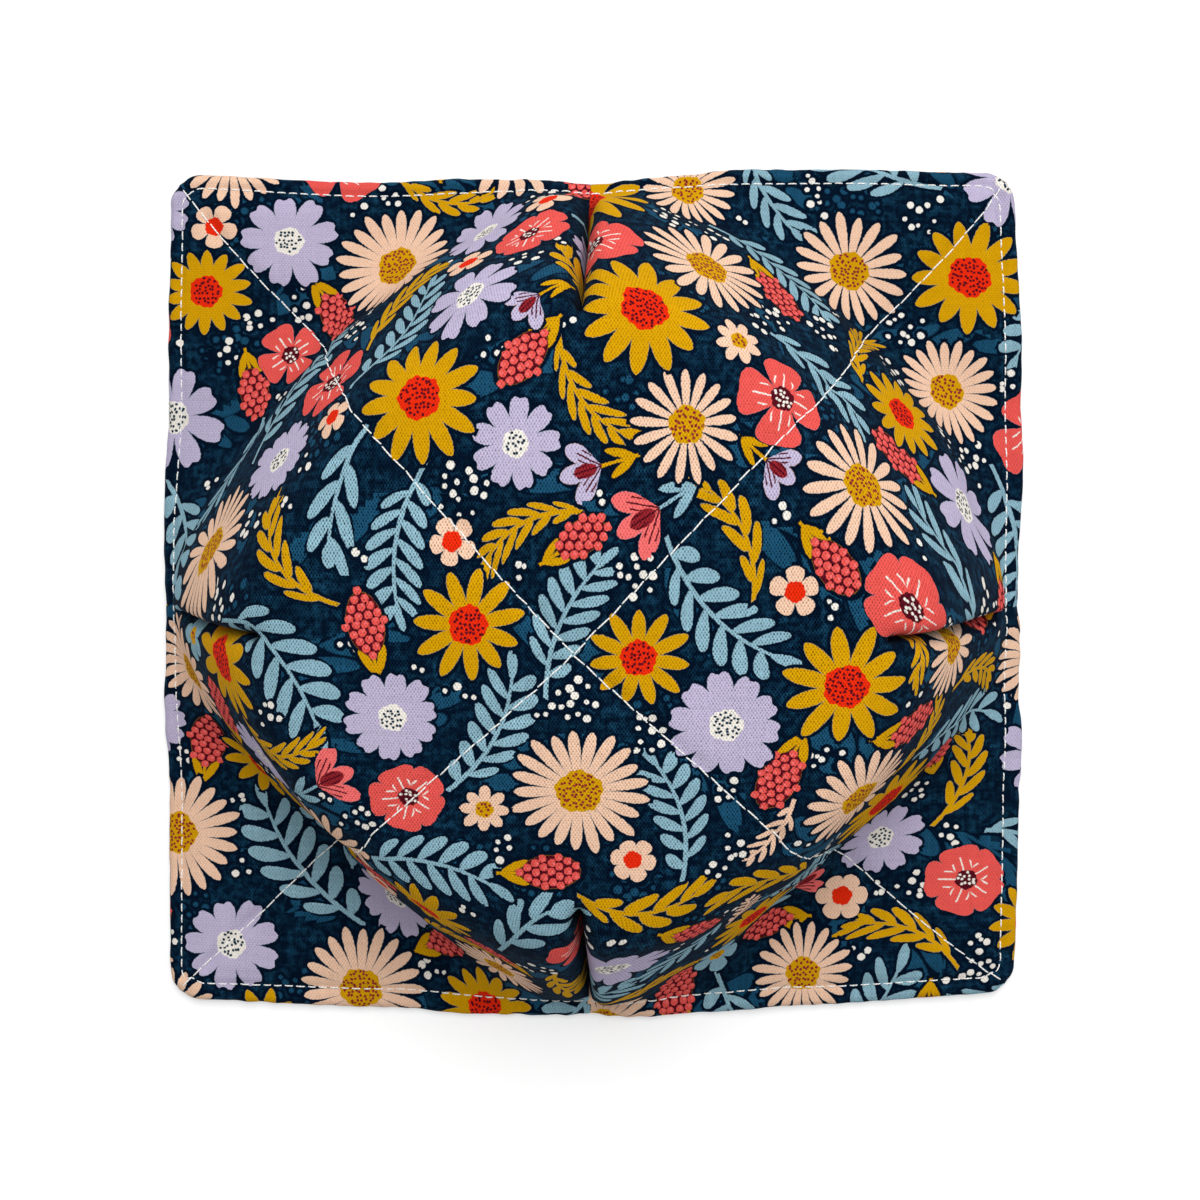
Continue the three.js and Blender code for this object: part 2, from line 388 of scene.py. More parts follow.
        flank = self.flank(bearing)
        run, drop = self.profile(length, flank)
        level = eased(length, flank[1] - self.foot_bend, flank[1] + self.foot_bend / 2.0)
        plan_x = sign_x * blended(run * np.cos(quarter), flat_x - self.half_dart, level)
        plan_y = sign_y * blended(run * np.sin(quarter), flat_y - self.half_dart, level)
        fold = quarter % RIGHT_ANGLE
        off = np.minimum(fold, RIGHT_ANGLE - fold)
        rim = np.hypot(self.half_side, self.half_dart + self.square_reach * np.tan(off))
        rise = np.clip(1.0 - drop / self.profile(rim, flank)[1], 0.0, 1.0)
        rim_x = self.pulled(plan_x, np.where(plan_x < 0, -plan_y, plan_y), self.reach.west, self.reach.east)
        rim_y = self.pulled(plan_y, np.where(plan_y < 0, plan_x, -plan_x), self.reach.south, self.reach.north)
        rim_y = rim_y + self.side_offset * bell(rim_y, self.side_offset_width)
        height = self.thickness + self.dome_height * rise
        return np.stack([rim_x + self.lean[0] * rise, rim_y + self.lean[1] * rise, height], axis=-1)

    def normal(self, x: Array, y: Array) -> Array:
        """Outward unit normals of the smooth upper face, from points a little to each side.

        Args:
            x, y: Places.

        Returns:
            The normals.
        """
        low_x, high_x, low_y, high_y = (
            np.clip(place + side * self.normal_reach, -self.rim_line, self.rim_line)
            for place in (x, y)
            for side in (-1.0, 1.0)
        )
        along_x = self.upper(high_x, y) - self.upper(low_x, y)
        return unit(np.cross(along_x, self.upper(x, high_y) - self.upper(x, low_y)))

    def dart_relief(self, x: Array, y: Array, along_x: bool) -> tuple[Array, Array, Array, Array]:
        """Relief of the darts along one axis.

        The sewn valley is a narrow bell over the seam with a sharp slit in it that opens to a small
        hole at the tip, the cloth swells on both sides of it, the fuller side leans over the seam, and
        inside the seam stands as a ridge.

        Args:
            x, y: Places.
            along_x: True for the west and east darts.

        Returns:
            Heights outwards, sideways shifts, the ridge inside, and how shut the slit is.
        """
        main, other = (x, y) if along_x else (y, x)
        sign = np.where(main < 0, -1.0, 1.0)
        off = other * sign if along_x else -other * sign
        length, valley, before, after, tuck, slit = (
            self.darts.across(name, main < 0, along_x) for name in Dart._fields
        )
        tip = self.half_side - length
        along = np.abs(main)
        inland = 1.0 - eased(along, *(self.rim_line - inset for inset in self.dart_end))
        strength = eased(along, *(tip + past for past in self.dart_start)) * inland
        away = np.abs(off)
        swell = ((away / self.swell_width) * np.exp(1.0 - away / self.swell_width)) ** 2
        side = np.where(off > 0, after, before)
        slit = slit * (1.0 + self.tip_hole * bell(along - tip - self.hole_place, self.hole_width))
        shut = bell(off, slit) * inland * eased(along, *(tip + past for past in self.slit_start))
        leaning = np.sin(math.pi * np.minimum(1.0, away / self.tuck_width))
        aside = np.where(off * tuck > 0, -strength * tuck * leaning, 0.0) * np.sign(main)
        out = strength * (side * swell - valley * bell(off, self.valley_width)) - self.slit_depth * shut
        return out, aside, strength * self.ridge * bell(off, self.ridge_width), shut

    def quilting_place(self, arm: int, share: Array) -> Array:
        """Places of one arm of the quilting, with two values in the last axis.

        An arm runs from the crossing, a little off the middle, to a corner: the share of the corner
        plus what is left of the crossing's offset, which fades with the square of the distance, plus
        the arm's own sideways bow, the sine of half a turn by the share's square.

        Args:
            arm: Which corner it runs to, from 0 to 3, counter-clockwise from the north-east.
            share: Shares of the way to the corner.

        Returns:
            Places.
        """
        sign = np.array([(1, 1), (-1, 1), (-1, -1), (1, -1)][arm], float)
        aside = np.array((-sign[1], sign[0])) / math.sqrt(2.0) * self.quilting_bows[arm]
        part = share[..., None]
        centre = np.array(self.quilting_centre) * (1.0 - part) ** 2
        return part * sign * self.rim_line + centre + aside * np.sin(math.pi * part**2)

    def from_quilting(self, x: Array, y: Array) -> Array:
        """Distance from the nearest arm of the quilting.

        It is taken from the place on each arm that is as far out along the arm's diagonal.

        Args:
            x, y: Places.

        Returns:
            Distances.
        """
        place = np.stack([x, y], axis=-1)
        nearest = np.full(x.shape, np.inf)
        for arm in range(4):
            sign = self.quilting_place(arm, np.ones(1))[0] / self.rim_line
            share = np.clip((place @ sign) / (2.0 * self.rim_line), 0.0, 1.0)
            for _ in range(2):
                rest = place - self.quilting_place(arm, share)
                share = np.clip(share + (rest @ sign) / (2.0 * self.rim_line), 0.0, 1.0)
            away = np.linalg.norm(place - self.quilting_place(arm, share), axis=-1)
            nearest = np.minimum(nearest, away)
        return nearest

    def small_relief(self, x: Array, y: Array) -> Array:
        """Relief too fine for the solid: sewn grooves, puckers beside the seams and soft wrinkles.

        Args:
            x, y: Places.

        Returns:
            Heights outwards.
        """
        quilted = self.from_quilting(x, y)
        inset = self.rim_line - np.maximum(np.abs(x), np.abs(y))
        groove = -self.quilting_groove * bell(quilted, self.quilting_groove_width)
        groove = groove * eased(inset, *self.quilting_end)
        puckers = self.puckers.over(x, y) * bell(quilted, self.pucker_reach)
        east, north, west, south = self.stitch_reach
        off_line = np.maximum.reduce([x - east, y - north, -x - west, -y - south])
        stitched = -self.topstitch_groove * bell(off_line, self.topstitch_groove_width)
        rim_puckers = self.rim_puckers.over(x, y) * bell(inset, self.pucker_reach)
        middle = np.hypot(x, y)
        flank = eased(middle, *self.flank_start) * (1.0 - eased(middle, *self.flank_end))
        wrinkles = self.wrinkles.over(x, y) * flank + self.long_wrinkles.over(x, y)
        return groove + puckers + stitched + rim_puckers + wrinkles

    def both_faces(self, x: Array, y: Array) -> tuple[Array, Array, Array]:
        """Outer and inner face of the cloth.

        Args:
            x, y: Places.

        Returns:
            Points of the outer face and of the inner one, and how deep in a dart's slit they are.
        """
        face = self.upper(x, y)
        normal = self.normal(x, y)
        edge = eased(np.maximum(np.abs(x), np.abs(y)), self.rim_line - self.edge_band, self.rim_line)
        out_x, aside_x, ridge_x, shut_x = self.dart_relief(x, y, along_x=True)
        out_y, aside_y, ridge_y, shut_y = self.dart_relief(x, y, along_x=False)
        out = (self.edge_thickness - self.thickness) * edge + out_x + out_y + self.small_relief(x, y)
        outer = face + normal * out[..., None]
        outer[..., 1] += aside_x
        outer[..., 0] -= aside_y
        inner = face - normal * (self.thickness + ridge_x + ridge_y)[..., None]
        inner[..., 2] = np.maximum(0.0, inner[..., 2])
        return outer, inner, np.maximum(shut_x, shut_y)


# --- The print: its inks, its motifs and where they lie ---


class Ink(Enum):
    """The print's inks, as red, green and blue from 0 to 255."""

    NAVY = (2, 17, 36)
    DEEP = (24, 72, 100)
    MUSTARD = (212, 157, 6)
    LILAC = (193, 183, 212)
    SKY = (138, 177, 192)
    PEACH = (244, 202, 173)
    RED = (234, 44, 14)
    BRICK = (140, 34, 42)
    CORAL = (234, 88, 82)
    PINK = (246, 112, 110)
    CREAM = (244, 238, 228)
    TEAL = (14, 48, 68)
    WINE = (84, 14, 28)

    @property
    def place(self) -> float:
        """Its place in the palette."""
        return float(list(Ink).index(self))


def linear(colour: Sequence[float]) -> tuple:
    """A colour of 0 to 255 for each of red, green and blue, as Blender's linear one with its alpha."""
    share = np.asarray(colour, float) / 255.0
    return (*np.where(share <= 0.04045, share / 12.92, ((share + 0.055) / 1.055) ** 2.4).tolist(), 1.0)


class Kind(IntEnum):
    """How a motif is drawn."""

    BLOOM = 0
    SPRIG = 1
    BERRIES = 2
    BUD = 3
    SEEDS = 4


INKS_IN_KIND = 32.0


@dataclass(frozen=True, eq=False)
class Motif:
    """One sort of motif in the print. Lengths in mm.

    The inks are those of its body, its heart, its detail and its stem. The two trims are the notch
    and the veins of a bloom or a bud, and the bend and the leaves' slant of a sprig. The heart of a
    sprig is how round its leaves end. Overlap is how deep it may reach into others, and apart the
    least distance from its own sort, as a multiple of its reach.
    """

    kind: Kind
    reach: tuple
    count: tuple
    width: float
    point: float
    heart: float
    inks: str
    notch: float = 0.0
    vein: float = 0.0
    overlap: float = 0.7
    apart: float = 2.6
    weight: float = 1.0

    def discs(self) -> Array:
        """Discs that cover the motif, as shares of its reach: along, across and radius.

        Returns:
            One row for each disc.
        """
        if self.kind == Kind.SPRIG:
            along = np.array([-0.8, -0.45, -0.05, 0.35, 0.72])
            radius = self.point * np.array([0.45, 0.86, 0.98, 0.84, 0.45])
            return np.stack([along, self.notch * (along**2 - 0.3), radius], axis=-1)
        if self.kind == Kind.BERRIES:
            return np.array([(0.58, 0, self.width), (0.08, 0, self.width), (-0.6, 0, 0.26)])
        if self.kind == Kind.BUD:
            return np.array([(0.4, 0, 0.52), (-0.55, 0, 0.32)])
        return np.array([(0.0, 0.0, 0.97)])

    def drawing(self) -> tuple:
        """What its nodes need: kind and stem ink, width, point, heart, notch, vein and three inks.

        Returns:
            Nine numbers. The whole part of the first is the kind, the rest a 32nd of the stem's ink.
        """
        body, heart, detail, stem = (Ink[name.upper()].place for name in self.inks.split())
        first = self.kind + stem / INKS_IN_KIND
        return (first, self.width, self.point, self.heart, self.notch, self.vein, body, heart, detail)


BLOOM, SPRIG, BUD = Kind.BLOOM, Kind.SPRIG, Kind.BUD
DAISY = Motif(BLOOM, (11.5, 15.5), (17, 23), 0.09, 6.0, 0.32, "peach mustard brick sky", weight=1.7)
SUNFLOWER = Motif(BLOOM, (10.5, 15.0), (11, 15), 0.2, 1.9, 0.33, "mustard red wine sky", weight=1.5)
ASTER = Motif(
    BLOOM, (10.0, 13.5), (8, 11), 0.24, 4.5, 0.27, "lilac cream teal sky", notch=0.1, weight=1.4
)
POPPY = Motif(
    BLOOM, (8.0, 11.0), (4, 6), 0.5, 7.0, 0.25, "coral wine cream sky",
    notch=0.05, vein=0.8, apart=3.4, weight=0.8,
)
BLOSSOM = Motif(BLOOM, (4.8, 6.4), (5, 7), 0.4, 5.0, 0.38, "peach red red sky", apart=2.1, weight=1.6)
SKY_BLOSSOM = Motif(BLOOM, (5.4, 7.4), (5, 7), 0.42, 5.0, 0.32, "sky mustard brick sky")
LITTLE_SUN = Motif(BLOOM, (5.6, 8.4), (7, 10), 0.3, 2.6, 0.34, "peach mustard brick sky", apart=2.4)
FERN = Motif(
    SPRIG, (16.0, 22.0), (8, 10), 0.37, 0.46, 3.4, "sky sky sky sky",
    notch=0.25, vein=0.7, overlap=2.0, apart=1.5, weight=2.0,
)
BROAD_LEAF = Motif(
    SPRIG, (12.0, 16.0), (4, 6), 0.3, 0.62, 2.2, "sky sky sky sky",
    notch=-0.15, vein=1.3, overlap=2.0, apart=2.4,
)
FROND = Motif(
    SPRIG, (11.0, 15.0), (5, 8), 0.36, 0.52, 1.5, "mustard mustard mustard sky",
    notch=-0.35, vein=1.5, overlap=2.0, apart=1.9, weight=1.2,
)
SPRAY = Motif(
    SPRIG, (9.0, 13.0), (6, 8), 0.33, 0.52, 1.6, "peach peach peach sky",
    notch=0.25, vein=1.1, overlap=1.6, weight=0.9,
)
BERRIES = Motif(
    Kind.BERRIES, (8.0, 11.0), (1, 2), 0.44, 1.0, 0.3, "wine coral pink mustard", overlap=1.0, weight=1.5
)
PINK_BUD = Motif(BUD, (8.0, 11.0), (9, 10), 0.27, 2.4, 0.3, "pink brick wine sky", overlap=1.1, weight=1.2)
LILAC_BUD = Motif(BUD, (7.5, 10.5), (9, 10), 0.27, 2.8, 0.3, "lilac brick wine mustard", overlap=1.1)
SEEDS = Motif(Kind.SEEDS, (3.5, 5.5), (1, 2), 0.3, 1.0, 0.0, "cream cream cream sky", overlap=1.0, apart=2.2)
FEW_SEEDS = Motif(
    Kind.SEEDS, (1.8, 3.0), (1, 2), 0.3, 1.0, 0.0, "cream cream cream sky", overlap=0.6, apart=1.6
)
DEEP_LEAVES = Motif(
    SPRIG, (16.0, 28.0), (4, 7), 0.42, 0.56, 1.5, "deep deep deep deep",
    notch=0.25, vein=1.2, overlap=1.6, apart=0.7, weight=3.0,
)
DEEP_SEEDS = Motif(Kind.SEEDS, (5.0, 9.0), (1, 2), 0.3, 1.0, 0.0, "deep deep deep deep", overlap=1.0)

LARGE = (DAISY, SUNFLOWER, ASTER, POPPY, FERN, BROAD_LEAF, BERRIES, FROND)
MIDDLING = (PINK_BUD, LILAC_BUD, SKY_BLOSSOM, LITTLE_SUN, SPRAY, BLOSSOM)
SMALL = (BLOSSOM, SEEDS, FEW_SEEDS)
UPWARDS = (Kind.SPRIG, Kind.SEEDS, Kind.BERRIES, Kind.BUD, Kind.BLOOM)
VALUE_GROUPS = ("form", "style", "trim", "inks")


class Layer(Enum):
    """The print's layers, from the cloth up."""

    GROUND = "ground"
    UNDER = "under"
    OVER = "over"


@dataclass
class PrintLayout:
    """Motifs packed on the flat cloth: each is tried at many seeded places and takes the snuggest.

    A grid over the cloth keeps the distance from each of its points to the nearest motif, so a try
    costs one look at the grid for each of its discs. A placed motif is kept as its middle, turn,
    mirroring, reach, count and seed.
    """

    seed: int
    half_width: float = 129.0
    spacing: float = 0.75
    far: float = 25.0
    tries: int = 3000
    patience: int = 14
    batch: int = 4096

    def __post_init__(self) -> None:
        """Starts with the bare cloth."""
        self.motifs: list[Motif] = []
        self.places: list[tuple] = []
        self.discs: list[Array] = []
        self.owners: list[int] = []
        self.random = np.random.default_rng(self.seed)
        self.line = np.arange(-self.half_width, self.half_width + self.spacing, self.spacing)
        self.field = np.full((len(self.line), len(self.line)), self.far)

    def filled(self, sorts: Sequence[Motif]) -> None:
        """Places motifs drawn from some sorts by weight, until many in a row find no room.

        Args:
            sorts: The sorts.
        """
        weights = np.array([motif.weight for motif in sorts])
        missed = placed = 0
        while missed < self.patience:
            motif = sorts[self.random.choice(len(sorts), p=weights / weights.sum())]
            found = self.added(motif)
            missed = 0 if found else missed + 1
            placed += found
        log.info("print: %d motifs of %d sorts", placed, len(sorts))

    def added(self, motif: Motif) -> bool:
        """Places one motif where it lies snug, if it has room anywhere.

        Args:
            motif: Its sort.

        Returns:
            Whether it found room.
        """
        shares = motif.discs()
        reach = self.random.uniform(*motif.reach)
        centre = self.random.uniform(-self.half_width, self.half_width, (self.tries, 2))
        turn = self.random.uniform(0.0, TURN, self.tries)
        mirror = self.random.choice([-1.0, 1.0])
        count = int(self.random.integers(*motif.count))
        seed = float(self.random.uniform())
        local = shares[:, :2] * reach * (1.0, mirror)
        radius = shares[:, 2] * reach
        along = np.stack([np.cos(turn), np.sin(turn)], axis=-1)[:, None]
        across = np.stack([-np.sin(turn), np.cos(turn)], axis=-1)[:, None]
        discs = centre[:, None] + local[None, :, :1] * along + local[None, :, 1:] * across
        steps = np.rint((discs + self.half_width) / self.spacing).astype(int)
        steps = np.clip(steps, 0, len(self.line) - 1)
        room = self.field[steps[..., 0], steps[..., 1]] - radius
        free = room.min(axis=1) >= -motif.overlap
        for other, place in zip(self.motifs, self.places):
            if other is motif:
                free &= np.linalg.norm(centre - place[:2], axis=-1) > motif.apart * reach
        if not free.any():
            return False
        snug = np.clip(room, -motif.overlap, self.far).mean(axis=1)
        best = int(np.argmin(np.where(free, snug, np.inf)))
        x, y = self.line[:, None, None], self.line[None, :, None]
        away = (np.hypot(x - discs[best, :, 0], y - discs[best, :, 1]) - radius).min(axis=-1)
        self.field = np.minimum(self.field, away)
        self.owners.extend([len(self.motifs)] * len(radius))
        self.discs.extend(np.column_stack([discs[best], radius]))
        self.motifs.append(motif)
        self.places.append((*centre[best], turn[best], mirror, reach, count, seed))
        return True

    def nearest_two(self, flat: Array) -> tuple[Array, Array]:
        """The two motifs nearest to each place, the upper one first.

        A motif's distance is the least of the distances to its discs' edges. Blooms lie over buds,
        buds over berries, and those over seeds and sprigs.

        Args:
            flat: Places on the flat cloth.

        Returns:
            Indices of the motifs that lie over and under.
        """
        discs = np.array(self.discs, np.float32)
        starts = np.flatnonzero(np.diff(np.array(self.owners), prepend=-1))
        level = np.array([UPWARDS.index(motif.kind) for motif in self.motifs])
        rank = level * len(self.motifs) + np.arange(len(self.motifs))
        pairs = []
        for start in range(0, len(flat), self.batch):
            some = flat[start : start + self.batch].astype(np.float32)
            away = np.hypot(some[:, :1] - discs[:, 0], some[:, 1:] - discs[:, 1]) - discs[:, 2]
            least = np.minimum.reduceat(away, starts, axis=1)
            pairs.append(np.argpartition(least, 1, axis=1)[:, :2])
        first, second = np.concatenate(pairs).T
        upper = rank[first] > rank[second]
        return np.where(upper, first, second), np.where(upper, second, first)

    def local_places(self, motif: Array, corners: Array) -> Array:
        """Corners of faces in their motif's own frame: along its axis and across it.

        Args:
            motif: Each face's motif.
            corners: Flat places of each face's corners.

        Returns:
            Local places of the corners.
        """
        place = np.array(self.places)[motif]
        away = corners - place[:, None, :2]
        cos, sin = np.cos(place[:, 2:3]), np.sin(place[:, 2:3])
        along = away[..., 0] * cos + away[..., 1] * sin
        across = (away[..., 1] * cos - away[..., 0] * sin) * place[:, 3, None]
        return np.stack([along, across], axis=-1)

    def values(self, motif: Array) -> tuple[Array, Array, Array, Array]:
        """What the nodes need at each face, three numbers for each of VALUE_GROUPS.

        Args:
            motif: Each face's motif.

        Returns:
            Form, style, trim and inks.
        """
        sort = np.array([sort.drawing() for sort in self.motifs], float)[motif]
        reach, count, seed = np.array(self.places)[motif, 4:].T
        form = np.stack([sort[:, 0], reach, count], axis=-1)
        return form, sort[:, 1:4], np.stack([sort[:, 4], sort[:, 5], seed], axis=-1), sort[:, 6:]


# --- Shader nodes ---


def feed(entry: Socket, value: Union["Value", Socket, float, tuple]) -> None:
    """Gives an input socket a worked-out value, a socket's output or a plain number.

    Args:
        entry: The input socket.
        value: What it gets.
    """
    value = value.socket if isinstance(value, Value) else value
    if isinstance(value, Socket):
        value.id_data.links.new(value, entry)
    else:
        entry.default_value = value


def new_node(tree: Tree, kind: str, inputs: dict, **settings: object) -> bpy.types.Node:
    """A shader node with its settings made and its inputs fed.

    Args:
        tree: Its tree.
        kind: Its type, without the first words.
        inputs: What its inputs get, by name or number.
        settings: Its settings.

    Returns:
        The node.
    """
    node = tree.nodes.new(f"ShaderNode{kind}")
    for name, value in settings.items():
        setattr(node, name, value)
    for name, value in inputs.items():
        feed(node.inputs[name], value)
    return node


def operator(operation: str) -> Callable:
    """A method of Value that feeds a Math node with the value and others.

    Args:
        operation: The node's operation.

    Returns:
        The method, which gives the node's own value.
    """

    def method(self: "Value", *others: Union["Value", float]) -> "Value":
        """The node's value."""
        inputs = dict(enumerate((self, *others)))
        return Value(new_node(self.tree, "Math", inputs, operation=operation).outputs[0])

    return method


class Value:
    """A number worked out by nodes. Arithmetic on it adds Math nodes to its tree."""

    __add__ = __radd__ = operator("ADD")
    __sub__ = operator("SUBTRACT")
    __mul__ = __rmul__ = operator("MULTIPLY")
    __truediv__ = operator("DIVIDE")
    __pow__ = operator("POWER")
    __abs__ = operator("ABSOLUTE")
    __lt__ = operator("LESS_THAN")
    __gt__ = operator("GREATER_THAN")
    times_plus = operator("MULTIPLY_ADD")
    near = operator("COMPARE")
    least = operator("MINIMUM")
    most = operator("MAXIMUM")
    rounded = operator("ROUND")
    floor = operator("FLOOR")
    modulo = operator("FLOORED_MODULO")
    sign = operator("SIGN")
    root = operator("SQRT")
    exponent = operator("EXPONENT")
    sine = operator("SINE")
    cosine = operator("COSINE")
    bearing = operator("ARCTAN2")

    def __init__(self, socket: Socket) -> None:
        """Takes the output socket that gives the number."""
        self.socket = socket
        self.tree = socket.id_data

    def __rsub__(self, other: float) -> "Value":
        """Difference, the other way round: -1 times self, plus other."""
        return self.times_plus(-1.0, other)

    def held(self, low: float, high: float) -> "Value":
        """The value kept from low to high."""
        return self.most(low).least(high)

    def ramped(self, low: Union["Value", float], high: Union["Value", float], way: str = "LINEAR") -> "Value":
        """0 at low, 1 at high and a straight or eased way between."""
        inputs = {"Value": self, "From Min": low, "From Max": high}
        return Value(new_node(self.tree, "MapRange", inputs, interpolation_type=way).outputs[0])


Number = Union[Value, float]


def length_of(along: Value, across: Value) -> Value:
    """Length of a flat vector: the root of the sum of its squares."""
    return (along * along + across * across).root()


def chosen(share: Value, no: Number, yes: Number) -> Value:
    """The second value where share is 1 and the first where it is 0."""
    return Value(new_node(share.tree, "Mix", {"Factor": share, "A": no, "B": yes}).outputs["Result"])


def painted(share: Value, under: Socket, over: Socket) -> Socket:
    """One colour laid over another by a share."""
    inputs = {"Factor": share, "A": under, "B": over}
    return new_node(share.tree, "Mix", inputs, data_type="RGBA").outputs["Result"]


def parted(socket: Socket) -> list[Value]:
    """The three numbers of a vector socket."""
    return [Value(part) for part in new_node(socket.id_data, "SeparateXYZ", {0: socket}).outputs]


def joined(along: Value, across: Value, third: Number = 0.0) -> Socket:
    """A vector socket of three numbers."""
    return new_node(along.tree, "CombineXYZ", {0: along, 1: across, 2: third}).outputs[0]


def shifted(place: Socket, by: Socket) -> Socket:
    """A place moved by a vector."""
    return new_node(place.id_data, "VectorMath", {0: place, 1: by}).outputs[0]


def scaled(colour: Socket, by: Value) -> Socket:
    """A colour made brighter or darker by a number."""
    return new_node(colour.id_data, "VectorMath", {0: colour, "Scale": by}, operation="SCALE").outputs[0]


def chance(number: Value) -> Value:
    """A random number from 0 to 1 that depends on the number given."""
    noise = new_node(number.tree, "TexWhiteNoise", {"W": number}, noise_dimensions="1D")
    return Value(noise.outputs["Value"])


def cloudy(place: Socket, scale: float, detail: float = 2.0, output: str = "Fac") -> Union[Value, Socket]:
    """Soft noise around 0.5, with so many clouds for each unit of the place, as a value or a colour."""
    noise = new_node(place.id_data, "TexNoise", {"Vector": place, "Scale": scale, "Detail": detail})
    return Value(noise.outputs["Fac"]) if output == "Fac" else noise.outputs[output]


def flat_colour(tree: Tree, colour: tuple) -> Socket:
    """A plain colour, by a node of its own.

    Args:
        tree: The tree that uses it.
        colour: Red, green and blue, from 0 to 255.

    Returns:
        The node's output.
    """
    made = new_node(tree, "RGB", {}).outputs[0]
    made.default_value = linear(colour)
    return made


def leaf_half(width: Number, part: Value, rise: float, fall: Number, close: float) -> Value:
    """Half width of a leaf or petal: its width by powers of the part of its length, 0 at both ends."""
    return width * part**rise * (1.0 - part**fall) ** close


class Group:
    """A shader node group with named inputs and outputs, built once and placed where it is used."""

    VECTORS = ("Place", "Form", "Style", "Trim", "Inks")

    def __init__(self, name: str, inputs: str, outputs: str) -> None:
        """Makes the empty group.

        Args:
            name: Its name.
            inputs: Names of its inputs.
            outputs: Names of its outputs.
        """
        self.tree = bpy.data.node_groups.new(name, "ShaderNodeTree")
        for side, titles in (("INPUT", inputs), ("OUTPUT", outputs)):
            for title in titles.split():
                kind = "Vector" if title in self.VECTORS else "Color" if title == "Colour" else "Float"
                self.tree.interface.new_socket(title, in_out=side, socket_type=f"NodeSocket{kind}")
        self.entry = self.tree.nodes.new("NodeGroupInput")
        self.exit = self.tree.nodes.new("NodeGroupOutput")

    @staticmethod
    def read(sockets: Sequence[Socket]) -> list[Union[Value, Socket]]:
        """Sockets that give numbers as values, and the others as they are."""
        return [Value(socket) if socket.type == "VALUE" else socket for socket in sockets]

    def inputs(self) -> list[Union[Value, Socket]]:
        """The group's inputs, in order; its last socket is Blender's blank one."""
        return self.read(list(self.entry.outputs)[:-1])

    def giving(self, *values: Union[Value, Socket]) -> "Group":
        """Sets the group's outputs.

        Args:
            values: What they give, in order.

        Returns:
            The group itself.
        """
        for entry, value in zip(self.exit.inputs, values):
            feed(entry, value)
        return self

    def placed(self, tree: Tree, *values: Union[Number, Socket]) -> list[Union[Value, Socket]]:
        """Places the group in a tree.

        Args:
            tree: The tree that uses it.
            values: What its inputs get, in order.

        Returns:
            Its outputs, in order.
        """
        node = new_node(tree, "Group", {}, node_tree=self.tree)
        for entry, value in zip(node.inputs, values):
            feed(entry, value)
        return self.read(node.outputs)


NOWHERE = -9.0
SEED_STEP = 97.0  # how far a motif's seed moves the numbers that its petals' chances come from


